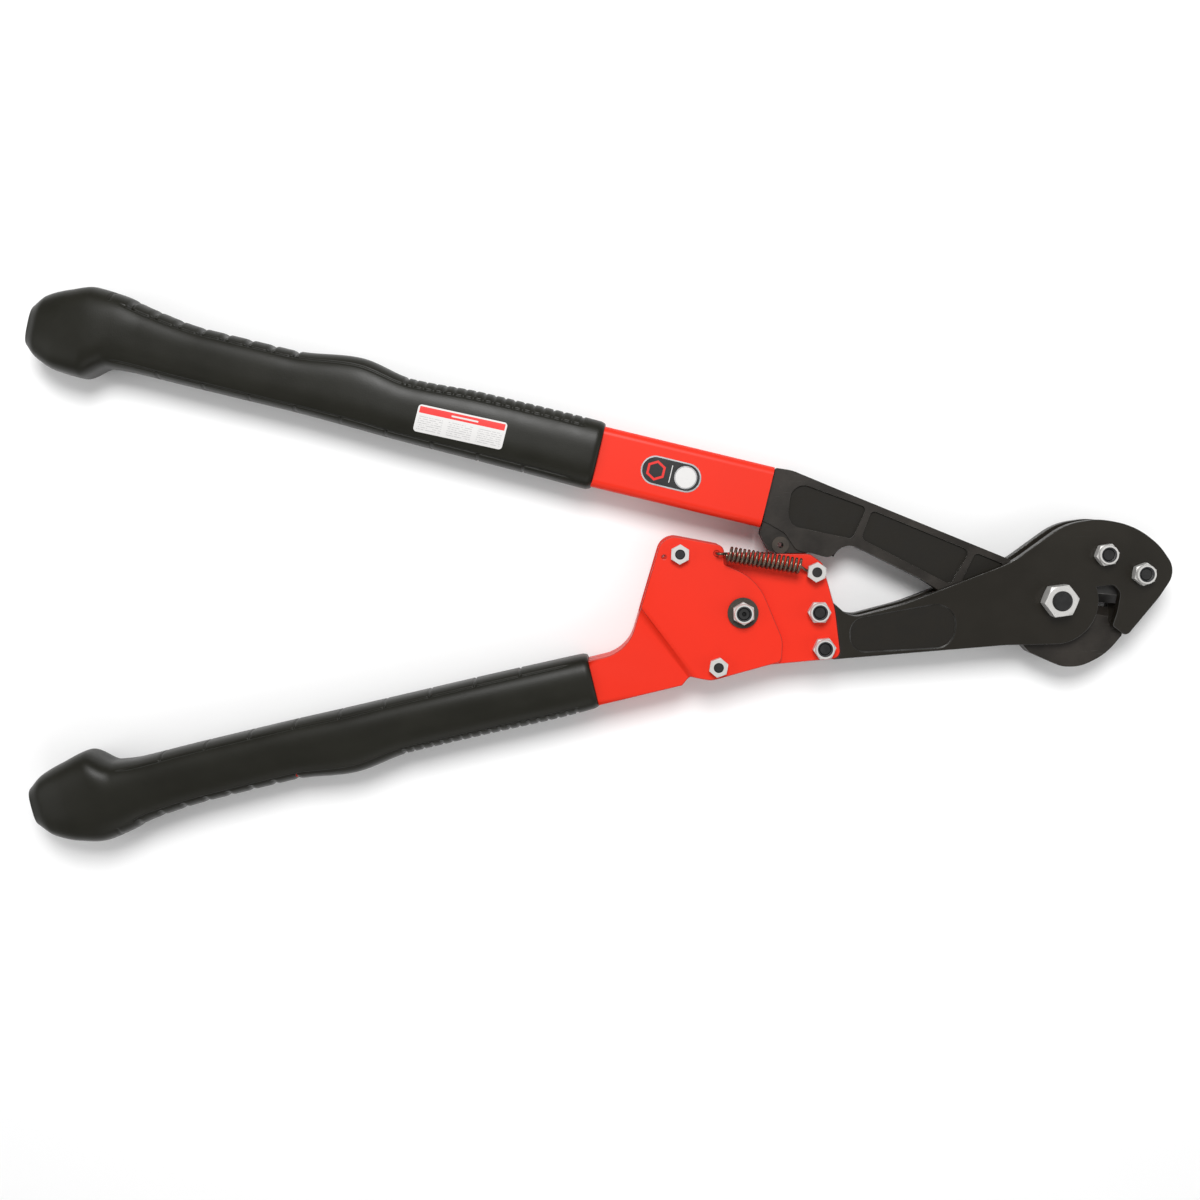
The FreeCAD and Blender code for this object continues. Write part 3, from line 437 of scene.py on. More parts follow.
def eased(stations, column, at):
    """The station values between stations, smooth and with no overshoot."""
    xs = np.array([s[0] for s in stations])
    ys = np.array([s[column] for s in stations])
    slopes = np.diff(ys) / np.diff(xs)
    tangents = np.zeros(len(xs))
    for index in range(1, len(xs) - 1):
        before, after = slopes[index - 1], slopes[index]
        if before * after > 0:
            tangents[index] = 2 * before * after / (before + after)
    tangents[0], tangents[-1] = slopes[0], slopes[-1]
    place = np.clip(np.searchsorted(xs, at, side="right") - 1, 0, len(xs) - 2)
    run = xs[place + 1] - xs[place]
    t = np.clip((at - xs[place]) / run, 0, 1)
    rise = ys[place] * (1 + 2 * t) * (1 - t) ** 2 + ys[place + 1] * t * t * (3 - 2 * t)
    return rise + run * t * (1 - t) * (tangents[place] * (1 - t) - tangents[place + 1] * t)


def section_angles(seams):
    """Angles round a grip's section, evenly spaced along it and closer at the seams."""
    dense = np.linspace(0, 2 * math.pi, 4001)
    y = 20 * np.sign(np.cos(dense)) * np.abs(np.cos(dense)) ** SECTION_POWER
    z = 17 * np.sign(np.sin(dense)) * np.abs(np.sin(dense)) ** SECTION_POWER
    run = np.concatenate([[0], np.cumsum(np.hypot(np.diff(y), np.diff(z)))])
    even = np.interp(np.linspace(0, run[-1], 85)[:-1], run, dense)
    close = [math.radians(s + d) for s in seams for d in (-3.2, -1.6, 0.0, 1.6, 3.2)]
    far = [a for a in even if min(abs(a - c) for c in close) > math.radians(1.5)]
    return np.array(sorted(far + close))


# ---- geometry node trees --------------------------------------------------------------
def groove_tree():
    """Cuts grooves across a moulded strip, at an even pitch along the grip."""
    tree, given, out = new_group(
        "Cut Grooves", "GeometryNodeTree",
        [("Geometry", "Geometry"), ("Strip", "String", "outer"), ("First", "Float"), ("Last", "Float"),
         ("Pitch", "Float", 0.03), ("Width", "Float", 0.002), ("Depth", "Float", 0.001),
         ("Material", "Material")],
        [("Geometry", "Geometry")],
    )
    along = add_node(tree, "GeometryNodeInputNamedAttribute", {"Name": "along"}, data_type="FLOAT").outputs[0]
    strip = add_node(tree, "GeometryNodeInputNamedAttribute", {"Name": given["Strip"]},
                     data_type="FLOAT").outputs[0]

    def times(first, second):
        return maths(tree, "MULTIPLY", first, second)

    from_first = maths(tree, "SUBTRACT", along, given["First"])
    to_groove = maths(tree, "PINGPONG", from_first, times(given["Pitch"], 0.5))
    shape = add_node(tree, "ShaderNodeMapRange", {
        "Value": to_groove, "From Max": times(given["Width"], 0.5), "To Min": 1.0, "To Max": 0.0,
    }, interpolation_type="SMOOTHSTEP").outputs["Result"]
    after = maths(tree, "GREATER_THAN", along, maths(tree, "SUBTRACT", given["First"], given["Width"]))
    before = maths(tree, "LESS_THAN", along, maths(tree, "ADD", given["Last"], given["Width"]))
    inward = times(times(times(times(shape, strip), times(after, before)), given["Depth"]), -1.0)
    normal = add_node(tree, "GeometryNodeInputNormal").outputs["Normal"]
    offset = add_node(tree, "ShaderNodeVectorMath", {0: normal, 3: inward}, operation="SCALE").outputs[0]
    moved = add_node(tree, "GeometryNodeSetPosition", {"Geometry": given["Geometry"], "Offset": offset})
    finish_tree(tree, moved.outputs[0], given["Material"], out)


def finish_tree(tree, geometry, material, out):
    """End a tree: instances made real, then the material."""
    real = add_node(tree, "GeometryNodeRealizeInstances", {0: geometry}).outputs[0]
    painted = add_node(tree, "GeometryNodeSetMaterial", {"Geometry": real, "Material": material}).outputs[0]
    tree.links.new(painted, out["Geometry"])


def round_wire(tree, curve, diameter, caps):
    """A round wire along a curve."""
    section = add_node(tree, "GeometryNodeCurvePrimitiveCircle", {
        "Resolution": 12, "Radius": maths(tree, "MULTIPLY", diameter, 0.5),
    }).outputs[0]
    return add_node(tree, "GeometryNodeCurveToMesh", {
        "Curve": curve, "Profile Curve": section, "Fill Caps": caps,
    }).outputs[0]


def coil_tree():
    """Winds a close coil between two bent ends, and gives it all a round wire."""
    tree, given, out = new_group(
        "Wind Spring", "GeometryNodeTree",
        [("Geometry", "Geometry"), ("Turns", "Float", 17.0), ("Radius", "Float", 0.0045),
         ("Length", "Float", 0.045), ("Wire", "Float", 0.0016), ("Place", "Vector"),
         ("Turn", "Rotation"), ("Material", "Material")],
        [("Geometry", "Geometry")],
    )
    spiral = add_node(tree, "GeometryNodeCurveSpiral", {
        "Resolution": 30, "Rotations": given["Turns"], "Start Radius": given["Radius"],
        "End Radius": given["Radius"], "Height": given["Length"],
    }).outputs[0]
    placed = add_node(tree, "GeometryNodeTransform", {
        "Geometry": spiral, "Translation": given["Place"], "Rotation": given["Turn"],
    }).outputs[0]
    bent = add_node(tree, "GeometryNodeMeshToCurve", {0: given["Geometry"]}).outputs[0]
    smooth = add_node(tree, "GeometryNodeCurveSplineType", {"Curve": bent}, spline_type="CATMULL_ROM")
    fine = add_node(tree, "GeometryNodeSetSplineResolution", {0: smooth.outputs[0], "Resolution": 8}).outputs[0]
    both = add_node(tree, "GeometryNodeJoinGeometry")
    tree.links.new(placed, both.inputs[0])
    tree.links.new(fine, both.inputs[0])
    finish_tree(tree, round_wire(tree, both.outputs[0], given["Wire"], True), given["Material"], out)


def ring_tree():
    """Sets a rounded locking ring at each point, for the recesses of the locking nuts."""
    tree, given, out = new_group(
        "Locking Rings", "GeometryNodeTree",
        [("Geometry", "Geometry"), ("Radius", "Float", 0.0044), ("Thickness", "Float", 0.0010),
         ("Material", "Material")],
        [("Geometry", "Geometry")],
    )
    loop = add_node(tree, "GeometryNodeCurvePrimitiveCircle", {
        "Resolution": 48, "Radius": given["Radius"],
    }).outputs[0]
    set_down = add_node(tree, "GeometryNodeInstanceOnPoints", {
        "Points": given["Geometry"], "Instance": round_wire(tree, loop, given["Thickness"], False),
    }).outputs[0]
    finish_tree(tree, set_down, given["Material"], out)


def run_tree(piece, tree, values):
    """Add a tree to a piece as a modifier, with its inputs set by their identifiers."""
    made = piece.modifiers.new(tree, "NODES")
    made.node_group = bpy.data.node_groups[tree]
    for item in made.node_group.interface.items_tree:
        if item.in_out == "INPUT" and item.name in values:
            made[item.identifier] = values[item.name]


# ---- operators ------------------------------------------------------------------------
class CUTTERS_OT_finishes(bpy.types.Operator):
    """Make every finish of the tool"""

    bl_idname = "cutters.finishes"
    bl_label = "Finishes"

    def execute(self, context):
        tint = settings("colours")
        mottle_group()
        grain_group()
        scuff_group()
        darker = [c * 0.86 for c in tint.paint]
        finish("red_paint", tint.paint, darker, 0.42, patches=(9.0, 0.3), grain=(420.0, 0.00003),
               scuffs=0.08, scuff_colour=(0.60, 0.012, 0.006), specular=0.20)
        # Bevel faces of the red sheet: painted darker red. This is partly edge wear and partly painted shade
        # along the edges.
        finish("red_rim", [c * 0.72 for c in tint.paint], [c * 0.5 for c in tint.paint], 0.42,
               patches=(60.0, 0.5), scuffs=0.3)
        finish("black_plate", tint.plate, [c * 1.5 for c in tint.plate], 0.38, patches=(14.0, 0.5),
               grain=(700.0, 0.00003), stretch=(1.0, 0.06, 1.0), scuffs=0.25, scuff_colour=(0.05, 0.05, 0.05),
               specular=0.32)
        # Bevel faces of the head plates: about eight times lighter than the plate. This is partly edge wear and
        # partly a painted highlight along the edges.
        finish("plate_rim", (0.075, 0.074, 0.072), tint.plate, 0.32, metal=0.6, patches=(70.0, 0.8))
        finish("pocket_floor", [c * 0.72 for c in tint.plate], [c * 1.1 for c in tint.plate], 0.62,
               patches=(90.0, 0.6), grain=(1100.0, 0.00012), scuffs=0.1, specular=0.24)
        finish("forged_steel", tint.forging, [c * 2.2 for c in tint.forging], 0.44, metal=0.1,
               patches=(34.0, 0.75), grain=(520.0, 0.00010), scuffs=0.5, scuff_colour=(0.12, 0.115, 0.105),
               specular=0.28)
        # Bevel faces of the forging and the jaw: far lighter than the forging. This is partly edge wear and
        # partly a painted highlight along the edges.
        finish("forged_rim", (0.21, 0.205, 0.195), [c * 1.4 for c in tint.forging], 0.34, metal=0.7,
               patches=(85.0, 0.85), scuffs=0.5, scuff_colour=(0.4, 0.39, 0.37))
        finish("grip_rubber", tint.rubber, [c * 1.35 for c in tint.rubber], 0.40, patches=(28.0, 0.5),
               grain=(1400.0, 0.00008), scuffs=0.12, scuff_colour=(0.03, 0.03, 0.029), specular=0.26)
        finish("bright_zinc", tint.zinc, [c * 0.85 for c in tint.zinc], 0.34, metal=0.3, patches=(160.0, 0.6),
               grain=(1500.0, 0.00003), scuffs=0.3, scuff_colour=(0.55, 0.54, 0.52))
        finish("dark_steel", tint.oxide, [c * 1.8 for c in tint.oxide], 0.46, metal=0.3,
               patches=(150.0, 0.7), grain=(1300.0, 0.00005), scuffs=0.3)
        finish("spring_wire", tint.spring, [c * 0.45 for c in tint.spring], 0.30, metal=0.85,
               patches=(190.0, 0.8), grain=(1500.0, 0.00004), scuffs=0.3)
        finish("bush_bronze", tint.bronze, [c * 0.6 for c in tint.bronze], 0.34, metal=1.0,
               patches=(120.0, 0.6), stretch=(1.0, 1.0, 0.1), scuffs=0.2)
        finish("ratchet_steel", tint.steel, [c * 0.55 for c in tint.steel], 0.33, metal=1.0,
               patches=(90.0, 0.7), grain=(900.0, 0.00004), stretch=(0.2, 1.0, 1.0), scuffs=0.35)
        # The jaw insert's steel is darkened to 0.14 of the ratchet steel. This is painted shade for the shadowed
        # throat of the hook.
        finish("jaw_steel", [c * 0.14 for c in tint.steel], [c * 0.05 for c in tint.steel], 0.40, metal=0.6,
               patches=(70.0, 0.8), grain=(900.0, 0.00006), scuffs=0.4)
        finish("nylon_ring", (0.016, 0.017, 0.020), (0.03, 0.03, 0.034), 0.5, patches=(200.0, 0.6))
        finish("washer_steel", (0.055, 0.044, 0.034), (0.025, 0.021, 0.017), 0.45, metal=0.4,
               patches=(140.0, 0.8), scuffs=0.4)
        finish("badge_silver", (0.55, 0.55, 0.56), (0.42, 0.42, 0.43), 0.3, metal=0.9, patches=(120.0, 0.6))
        finish("badge_black", (0.012, 0.012, 0.013), (0.02, 0.02, 0.02), 0.28, coat=0.4, scuffs=0.05)
        finish("badge_red", tint.band, [c * 0.8 for c in tint.band], 0.3, coat=0.4, scuffs=0.05)
        finish("badge_pale", tint.label, [c * 0.9 for c in tint.label], 0.3, coat=0.4, scuffs=0.05)
        print_material(tint.label, tint.band)
        return {"FINISHED"}


class CUTTERS_OT_dress_frame(bpy.types.Operator):
    """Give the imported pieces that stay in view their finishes"""

    bl_idname = "cutters.dress_frame"
    bl_label = "Packed pieces"

    FINISH_OF = {
        "dark_steel": ["jaw_bolts", "main_pivot_bolt", "housing_bolts", "spring_stud", "lever_bolts",
                       "lever_pivot_bolt"],
        "bright_zinc": ["jaw_nuts", "main_pivot_nut", "housing_nuts", "spring_stud_nut", "lever_nuts",
                        "lever_pivot_nut"],
        "washer_steel": ["lever_pivot_washer", "rack_pin", "hold_pawl_pin", "drive_pawl_pin"],
        "bush_bronze": ["main_pivot_bushing", "lever_pivot_sleeve"],
        "ratchet_steel": ["ratchet_rack", "drive_pawl", "hold_pawl", "housing_spacers", "lever_spacers"],
        "spring_wire": ["drive_pawl_spring", "hold_pawl_spring"],
        "red_paint": ["upper_tube"],
    }

    def execute(self, context):
        for name, nodes in self.FINISH_OF.items():
            for node in nodes:
                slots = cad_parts[node].data.materials
                slots.clear()
                slots.append(finish_named(name))
        return {"FINISHED"}


class CUTTERS_OT_plates(bpy.types.Operator):
    """Head plates and fixed jaw with broken edges"""

    bl_idname = "cutters.plates"
    bl_label = "Head plates"

    def execute(self, context):
        width = settings("sizes").rim
        floors = (MID_Z + PLATE_POCKET_FLOOR, MID_Z - PLATE_POCKET_FLOOR)
        finishes = ["black_plate", "plate_rim", "pocket_floor"]
        for node in ("head_plate_front", "head_plate_rear"):
            edged(node, "head", width, finishes, floors)
        edged("jaw_insert", "head", width * 0.6, ["jaw_steel", "forged_rim"])
        return {"FINISHED"}


class CUTTERS_OT_forging(bpy.types.Operator):
    """The forged blade arm, bright along its edges with wear and a painted highlight"""

    bl_idname = "cutters.forging"
    bl_label = "Blade arm"

    def execute(self, context):
        floors = (MID_Z + ARM_POCKET_FLOOR, MID_Z - ARM_POCKET_FLOOR)
        finishes = ["forged_steel", "forged_rim", "pocket_floor"]
        arm = edged("blade_arm", "upper_arm", settings("sizes").rim * 1.4, finishes, floors, clamp=True)
        return {"FINISHED"}


class CUTTERS_OT_painted_sheet(bpy.types.Operator):
    """Housing plates and lever halves with the soft edges of pressed sheet"""

    bl_idname = "cutters.painted_sheet"
    bl_label = "Lever and housing"

    def execute(self, context):
        width = settings("sizes").pressed_rim
        for node, body in (("housing_plate_front", "head"), ("housing_plate_rear", "head"),
                           ("lever_shell_front", "lever"), ("lever_shell_rear", "lever")):
            fold = FOLD_WIDTH if body == "lever" else 0.0
            edged(node, body, width, ["red_paint", "red_rim"], fold=fold)
        return {"FINISHED"}


def grip_surface(stations, along, angle):
    """A point of a grip: how far out it lies and how high, in millimetres."""
    outer, inner, half = (eased(stations, column, along) for column in (1, 2, 3))
    cos, sin = np.cos(angle), np.sin(angle)
    out = (outer + inner) / 2 + (outer - inner) / 2 * np.sign(cos) * np.abs(cos) ** SECTION_POWER
    return out, half * np.sign(sin) * np.abs(sin) ** SECTION_POWER


class CUTTERS_OT_grips(bpy.types.Operator):
    """Both moulded grips, with their ribs, scallops, notches and parting grooves"""

    bl_idname = "cutters.grips"
    bl_label = "Grips"

    NOTCHES = (31.0, 129.0, 202.0)
    LIP = [(0.0, 0.93), (0.15, 0.965), (0.5, 0.988), (1.0, 1.0)]
    END = [(0.1, 0.985), (0.3, 0.95), (0.5, 0.90), (0.6, 0.82)]

    def rows(self, last, pitch):
        """Distances from the mouth of the mesh's rings, closer at the notches."""
        close = list(self.NOTCHES) + list(np.arange(45.0, 300.0, pitch))
        fine = [c + d for c in close for d in (-1.0, -0.5, 0.0, 0.5, 1.0)]
        even = [u for u in np.arange(1.9, last, 0.9) if min(abs(u - f) for f in fine) > 0.4]
        return sorted(even + fine + [last])

    def mould(self, name, stations, mouth, turn, sign):
        """One grip's mesh, with where each point lies stored on it."""
        sizes = settings("sizes")
        seams = (OUTER_SEAM, 180 - INNER_SEAM, 180 + INNER_SEAM, 360 - OUTER_SEAM)
        angles = section_angles(seams)
        body = [(u, 1.0) for u in self.rows(stations[-1][0], sizes.panel_pitch / MM)]
        rings = self.LIP + body + [(stations[-1][0] + d, s) for d, s in self.END]
        degrees = np.degrees(angles)
        to_outer = np.minimum(degrees, 360 - degrees)
        outer = np.clip((OUTER_SEAM + 1.0 - to_outer) / 3.0, 0, 1)
        inner = np.clip((to_outer - (180 - INNER_SEAM) + 1.0) / 3.0, 0, 1)
        at_seam = np.zeros(len(angles))
        for seam in seams:
            at_seam = np.maximum(at_seam, np.clip(1 - np.abs(degrees - seam) / 2.6, 0, 1))
        points = []
        place = local_to_tool(mouth, turn)
        for along, scale in rings:
            out, high = grip_surface(stations, along, angles)
            middle = float((eased(stations, 1, along) + eased(stations, 2, along)) / 2)
            fade = np.clip((along - 12.0) / 6.0, 0, 1) * np.clip((316.0 - along) / 8.0, 0, 1)
            cut = 1 - 0.055 * at_seam * fade
            out = middle + (out - middle) * scale * cut
            high = high * scale * cut
            points += [place @ Vector((along * MM, sign * o * MM, h * MM)) for o, h in zip(out, high)]
        count = len(angles)
        faces = []
        for ring in range(len(rings) - 1):
            for step in range(count):
                a, b = ring * count + step, ring * count + (step + 1) % count
                faces.append((a, b, b + count, a + count))
        faces.append(list(range(count)))
        faces.append(list(range(len(points) - count, len(points))))
        mesh = bpy.data.meshes.new(name)
        mesh.from_pydata(points, [], faces)
        turn_outwards(mesh)
        shade_smooth(mesh)
        columns = {"along": np.repeat([u * MM for u, _ in rings], count),
                   "outer": np.tile(outer, len(rings)), "inner": np.tile(inner, len(rings))}
        for key, values in columns.items():
            mesh.attributes.new(key, "FLOAT", "POINT").data.foreach_set("value", values.astype(np.float32))
        return mesh

    def execute(self, context):
        sizes = settings("sizes")
        groove_tree()
        grips = (("upper_grip", "upper_arm", UPPER_GRIP, UPPER_MOUTH, UPPER_TURN, -1, 2.2 * MM),
                 ("lower_grip", "lever", LOWER_GRIP, LOWER_MOUTH, LOWER_TURN, 1, 1.0 * MM))
        for node, body, stations, mouth, turn, sign, scallop in grips:
            mesh = self.mould(node, stations, mouth, turn, sign)
            piece = add_piece(node + "_moulded", mesh, ["grip_rubber"])
            deep = sizes.groove_depth
            cuts = (
                ("outer", 15, 129, sizes.fine_pitch, 2.6 * MM, deep * 1.2),
                ("outer", 202, 318, sizes.coarse_pitch, 6.0 * MM, scallop),
                ("outer", 129, 202, 73 * MM, 2.0 * MM, deep * 1.3),
                ("inner", 45, 286, sizes.panel_pitch, 1.8 * MM, deep * 1.3),
            )
            for strip, first, last, pitch, width, depth in cuts:
                run_tree(piece, "Cut Grooves", {
                    "Strip": strip, "First": first * MM, "Last": last * MM, "Pitch": pitch, "Width": width,
                    "Depth": depth, "Material": finish_named("grip_rubber"),
                })
            settle(piece)
            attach(piece, body)
            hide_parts(node)
        return {"FINISHED"}


class CUTTERS_OT_spring(bpy.types.Operator):
    """The return spring, which stretches between the lever and the stud"""

    bl_idname = "cutters.spring"
    bl_label = "Return spring"

    def execute(self, context):
        sizes = settings("sizes")
        coil_tree()
        radius = (sizes.spring_diameter - sizes.spring_wire) / 2
        start, end = (Vector((x * MM, y * MM, SPRING_LEVEL)) for x, y in SPRING_ENDS)
        quarter = Matrix.Rotation(math.radians(-90), 3, "Z").to_quaternion()
        turn = (end - start).to_track_quat("Z", "Y") @ quarter
        side = turn @ Vector((radius, 0, 0))
        hole = Vector((SPRING_HOLE[0] * MM, SPRING_HOLE[1] * MM, SPRING_LEVEL))
        eye = HEAD_TOP + 1.4 * MM
        ring = [Vector((STUD[0] * MM + EYE_RADIUS * math.cos(math.radians(a)),
                        STUD[1] * MM + EYE_RADIUS * math.sin(math.radians(a)), eye))
                for a in range(-170, 150, 20)]
        back = (start - hole).normalized()
        hook = [start + side, start + side * 0.75 - back * 1.8 * MM, hole + back * 3.4 * MM + side * 0.1,
                hole + back * 0.9 * MM - Vector((0, 0, 0.4 * MM)), hole - Vector((0, 0, 2.6 * MM)),
                Vector((hole.x, hole.y, MID_Z + 14.0 * MM))]
        neck = [end + side, end + side + (ring[0] - end - side) * 0.5 + Vector((0, 0, 0.5 * MM))]
        points, edges = [], []
        for path in (hook, neck + ring):
            edges += [(len(points) + i, len(points) + i + 1) for i in range(len(path) - 1)]
            points += path
        mesh = bpy.data.meshes.new("return_spring_wound")
        mesh.from_pydata(points, edges, [])
        piece = add_piece("return_spring_wound", mesh, ["spring_wire"])
        run_tree(piece, "Wind Spring", {
            "Turns": float(sizes.spring_turns), "Radius": radius, "Length": (end - start).length,
            "Wire": sizes.spring_wire, "Place": list(start), "Turn": list(turn.to_euler()),
            "Material": finish_named("spring_wire"),
        })
        settle(piece)
        shade_smooth(piece.data)
        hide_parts("return_spring")
        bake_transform(piece)
        return {"FINISHED"}


class CUTTERS_OT_locking_rings(bpy.types.Operator):
    """The dark rings in the locking nuts"""

    bl_idname = "cutters.locking_rings"
    bl_label = "Locking rings"

    def execute(self, context):
        ring_tree()
        radius, thickness = LOCKING_RING
        sets = (("head", JAW_BOLTS + HOUSING_BOLTS, HEAD_TOP + NUT_SEAT),
                ("lever", [LEVER_PIVOT], LEVER_TOP + WASHER + NUT_SEAT))
        for body, centres, level in sets:
            mesh = bpy.data.meshes.new(body + "_locking_rings")
            mesh.from_pydata([(x * MM, y * MM, level) for x, y in centres], [], [])
            piece = add_piece(body + "_locking_rings", mesh, ["nylon_ring"])
            run_tree(piece, "Locking Rings", {
                "Radius": radius, "Thickness": thickness, "Material": finish_named("nylon_ring"),
            })
            settle(piece)
            shade_smooth(piece.data)
            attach(piece, body)
        return {"FINISHED"}


class CUTTERS_OT_label(bpy.types.Operator):
    """The plain ruled label on the upper grip"""

    bl_idname = "cutters.label"
    bl_label = "Grip label"

    CENTRE = (89.0, -2.3)
    CORNER = 2.2
    TILT = 0.022
    ABOVE, BELOW = 0.14, 0.35     # how far its two faces lie from the grip's surface
    COLUMNS = 33

    def execute(self, context):
        sizes = settings("sizes")
        half_length = sizes.label_length / 2 / MM
        half_width = sizes.label_width / 2 / MM
        straight = half_width - self.CORNER
        rows = [straight + self.CORNER * math.sin(math.radians(a)) for a in range(0, 91, 15)]
        rows = [-r for r in reversed(rows)] + list(np.linspace(-straight, straight, 12))[1:-1] + rows
        place = local_to_tool(UPPER_MOUTH, UPPER_TURN)
        columns = self.COLUMNS
        tops, unders, spots = [], [], []
        for row in rows:
            beyond = max(0.0, abs(row) - straight)
            reach = half_length - self.CORNER + math.sqrt(max(0.0, self.CORNER ** 2 - beyond ** 2))
            for step in range(columns):
                run = (2 * step / (columns - 1) - 1) * reach
                along = self.CENTRE[0] + run - row * self.TILT
                out = self.CENTRE[1] + row - run * self.TILT
                high = self.height_at(along, out)
                tops.append(place @ Vector((along * MM, -out * MM, (high + self.ABOVE) * MM)))
                unders.append(place @ Vector((along * MM, -out * MM, (high - self.BELOW) * MM)))
                spots.append((0.5 - run / (2 * half_length), 0.5 + row / (2 * half_width)))
        count = len(tops)
        faces = []
        for row in range(len(rows) - 1):
            for step in range(columns - 1):
                a = row * columns + step
                cell = (a, a + 1, a + 1 + columns, a + columns)
                faces += [cell, tuple(count + i for i in reversed(cell))]
        rim = list(range(columns)) + [r * columns + columns - 1 for r in range(1, len(rows))]
        rim += [(len(rows) - 1) * columns + s for s in range(columns - 2, -1, -1)]
        rim += [r * columns for r in range(len(rows) - 2, 0, -1)]
        for first, second in zip(rim, rim[1:] + rim[:1]):
            faces.append((second, first, first + count, second + count))
        mesh = bpy.data.meshes.new("grip_label")
        mesh.from_pydata(tops + unders, [], faces)
        turn_outwards(mesh)
        layer = mesh.uv_layers.new(name="label")
        for loop in mesh.loops:
            layer.data[loop.index].uv = spots[loop.vertex_index % count]
        piece = add_piece("grip_label", mesh, ["label_print"])
        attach(piece, "upper_arm")
        return {"FINISHED"}

    def height_at(self, along, out):
        """The grip's top at a place on it, in millimetres above the mid plane."""
        outer, inner, half = (float(eased(UPPER_GRIP, column, along)) for column in (1, 2, 3))
        share = abs(out - (outer + inner) / 2) / ((outer - inner) / 2)
        cos = min(1.0, share) ** (1 / SECTION_POWER)
        return half * math.sqrt(1 - cos * cos) ** SECTION_POWER


def stacked(shapes, name):
    """One mesh of flat closed solids: each is (outline, hole outline or None, bottom, top, slot)."""
    points, faces, slots = [], [], []
    for outline, hole, low, high, slot in shapes:
        loops = [outline] + ([hole] if hole else [])
        count = len(outline)
        first = len(points)
        for loop in loops:
            points += [(x * MM, y * MM, low) for x, y in loop] + [(x * MM, y * MM, high) for x, y in loop]
        made = []
        for index in range(count):
            after = (index + 1) % count
            made.append((index, after, after + count, index + count))
            if hole:
                other = 2 * count
                made.append((index + other, index + other + count, after + other + count, after + other))
                made.append((index + count, after + count, after + other + count, index + other + count))
                made.append((index, index + other, after + other, after))
        if not hole:
            made.append(tuple(range(count, 2 * count)))
            made.append(tuple(reversed(range(count))))
        faces += [tuple(first + i for i in face) for face in made]
        slots += [slot] * len(made)
    mesh = bpy.data.meshes.new(name)
    mesh.from_pydata(points, [], faces)
    mesh.polygons.foreach_set("material_index", slots)
    return mesh


def pill(length_mm, width_mm, steps=18):
    """The outline of a slot with round ends."""
    radius = width_mm / 2
    reach = length_mm / 2 - radius
    ends = []
    for centre, start in ((reach, -90), (-reach, 90)):
        for step in range(steps + 1):
            turn = math.radians(start + 180 * step / steps)
            ends.append((centre + radius * math.cos(turn), radius * math.sin(turn)))
    return ends


def ring_points(radius, sides, centre=(0.0, 0.0), start=0.0):
    """A regular outline round a centre."""
    turns = [math.radians(start + 360 * side / sides) for side in range(sides)]
    return [(centre[0] + radius * math.cos(t), centre[1] + radius * math.sin(t)) for t in turns]


class CUTTERS_OT_badge(bpy.types.Operator):
    """The plain badge on the upper tube: a hexagon, a rule and a disc"""

    bl_idname = "cutters.badge"
    bl_label = "Tube badge"

    CENTRE = (-246.0, 80.2)
    TURN = -13.6

    def execute(self, context):
        sizes = settings("sizes")
        long, wide = sizes.badge_length / MM, sizes.badge_width / MM
        base = TUBE_TOP - 0.3 * MM
        level = TUBE_TOP + 0.2 * MM
        left, right = (-9.8, 0.0), (9.6, 0.0)
        shapes = [
            (pill(long, wide), pill(long - 1.8, wide - 1.8), base, level + 0.12 * MM, 0),
            (pill(long - 1.7, wide - 1.7), None, base, level, 1),
            (ring_points(6.6, 6, left, 30), ring_points(4.9, 6, left, 30), base, level + 0.08 * MM, 2),
            ([(-0.4, -5.6), (0.1, -5.6), (0.1, 5.6), (-0.4, 5.6)], None, base, level + 0.08 * MM, 3),
            (ring_points(7.3, 48, right), ring_points(6.7, 48, right), base, level + 0.10 * MM, 0),
            (ring_points(6.6, 48, right), None, base, level + 0.08 * MM, 3),
        ]
        mesh = stacked(shapes, "tube_badge")
        place = Matrix.Translation((self.CENTRE[0] * MM, self.CENTRE[1] * MM, 0))
        mesh.transform(place @ Matrix.Rotation(math.radians(self.TURN), 4, "Z"))
        piece = add_piece("tube_badge", mesh, ["badge_silver", "badge_black", "badge_red", "badge_pale"])
        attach(piece, "upper_arm")
        return {"FINISHED"}


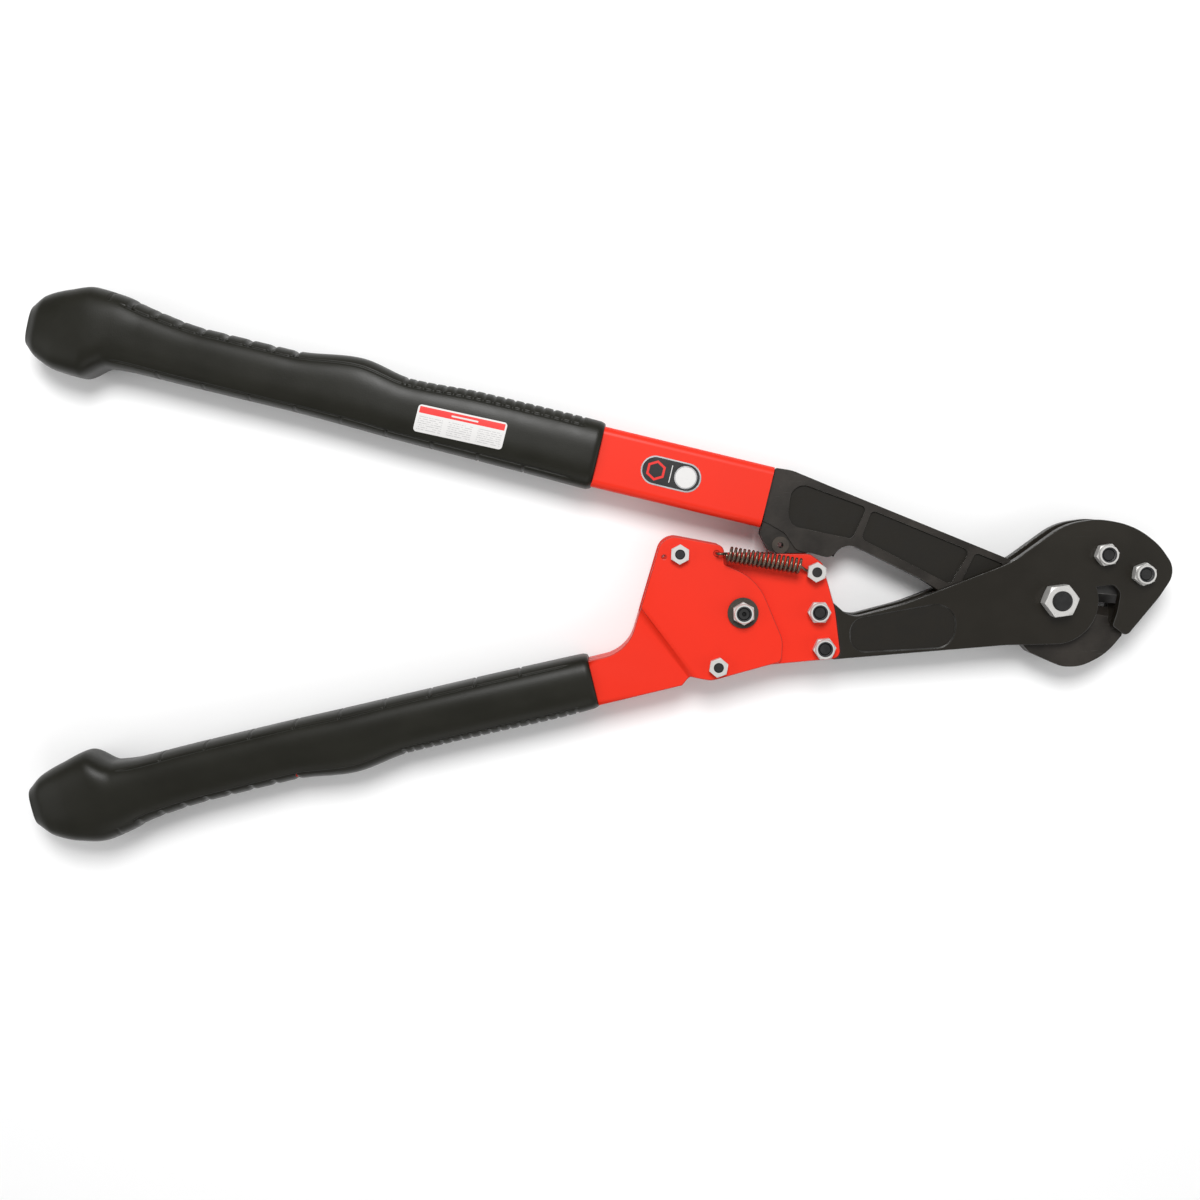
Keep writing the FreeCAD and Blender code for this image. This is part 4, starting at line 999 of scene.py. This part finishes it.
class CUTTERS_OT_stage(bpy.types.Operator):
    """Floor, lamps, surrounding light and camera"""

    bl_idname = "cutters.stage"
    bl_label = "Stage"

    EYE = (-0.27843, 0.06824, 0.9180)
    AHEAD = (-0.014391, -0.076991, -0.996928)
    LENS = 41.565
    TARGET = (-0.30, 0.02, 0.0)
    LAMPS = (
        # name, place, size, the setting that holds its power
        ("key_lamp", (-0.30, 0.78, 1.48), 0.6, "key"),
        ("left_lamp", (-1.55, -0.10, 0.95), 0.9, "fill"),
        ("right_lamp", (0.95, -0.25, 0.95), 0.9, "fill"),
        ("near_lamp", (-0.30, -1.25, 1.05), 0.9, "fill"),
    )

    def execute(self, context):
        light = settings("stage")
        scene = context.scene
        half = 3.0
        corners = [(-half, -half, 0), (half, -half, 0), (half, half, 0), (-half, half, 0)]
        mesh = bpy.data.meshes.new("floor")
        mesh.from_pydata(corners, [], [(0, 1, 2, 3)])
        finish("floor_paper", light.floor, [c * 0.985 for c in light.floor], 0.9, patches=(3.0, 0.5), scuffs=0.0,
               grain=(300.0, 0.00002), specular=0.1)
        floor = add_piece("floor", mesh, ["floor_paper"])
        world = bpy.data.worlds.new("studio")
        scene.world = world
        world.use_nodes = True
        world.node_tree.nodes["Background"].inputs["Color"].default_value = (1.0, 1.0, 1.0, 1.0)
        world.node_tree.nodes["Background"].inputs["Strength"].default_value = light.sky
        target = Vector(self.TARGET)
        for name, place, size, kind in self.LAMPS:
            lamp = bpy.data.lights.new(name, "AREA")
            lamp.energy = getattr(light, kind)
            lamp.size = size
            holder = bpy.data.objects.new(name, lamp)
            holder.location = place
            holder.rotation_euler = (target - Vector(place)).to_track_quat("-Z", "Y").to_euler()
            scene.collection.objects.link(holder)
        camera = bpy.data.cameras.new("camera")
        camera.lens = self.LENS
        camera.sensor_width = 36.0
        camera.clip_start, camera.clip_end = 0.01, 20.0
        holder = bpy.data.objects.new("camera", camera)
        ahead = Vector(self.AHEAD).normalized()
        right = Vector((1.0, 0.0, 0.0))
        right = (right - ahead * right.dot(ahead)).normalized()
        up = right.cross(ahead)
        holder.matrix_world = Matrix.Translation(self.EYE) @ Matrix((right, up, -ahead)).transposed().to_4x4()
        scene.collection.objects.link(holder)
        scene.camera = holder
        scene.view_settings.view_transform = "Standard"
        return {"FINISHED"}


OPERATORS = (
    CUTTERS_OT_finishes, CUTTERS_OT_dress_frame, CUTTERS_OT_plates, CUTTERS_OT_forging,
    CUTTERS_OT_painted_sheet, CUTTERS_OT_grips, CUTTERS_OT_spring, CUTTERS_OT_locking_rings,
    CUTTERS_OT_label, CUTTERS_OT_badge, CUTTERS_OT_stage,
)
GROUPS = {"sizes": CutterSizes, "colours": CutterColours, "stage": CutterStage}


class CUTTERS_PT_panel(bpy.types.Panel):
    """Settings and steps of the bolt cutters"""

    bl_idname = "CUTTERS_PT_panel"
    bl_label = "Bolt cutters"
    bl_space_type = "VIEW_3D"
    bl_region_type = "UI"
    bl_category = "Bolt cutters"

    def draw(self, context):
        for key, group in GROUPS.items():
            box = self.layout.box()
            box.label(text=key.capitalize())
            for name in group.__annotations__:
                box.prop(settings(key), name)
        for step in OPERATORS:
            self.layout.operator(step.bl_idname)


def register():
    """Register every class and hang the settings on the scene."""
    for made in (*GROUPS.values(), *OPERATORS, CUTTERS_PT_panel):
        bpy.utils.register_class(made)
    for key, group in GROUPS.items():
        setattr(bpy.types.Scene, "cutter_" + key, PointerProperty(type=group))


def unregister():
    """Take it all away again."""
    for key in GROUPS:
        delattr(bpy.types.Scene, "cutter_" + key)
    for made in reversed((*GROUPS.values(), *OPERATORS, CUTTERS_PT_panel)):
        bpy.utils.unregister_class(made)


def main():
    """Build every piece in order."""
    register()
    for step in OPERATORS:
        family, name = step.bl_idname.split(".")
        getattr(getattr(bpy.ops, family), name)()


if __name__ == "__main__":
    main()
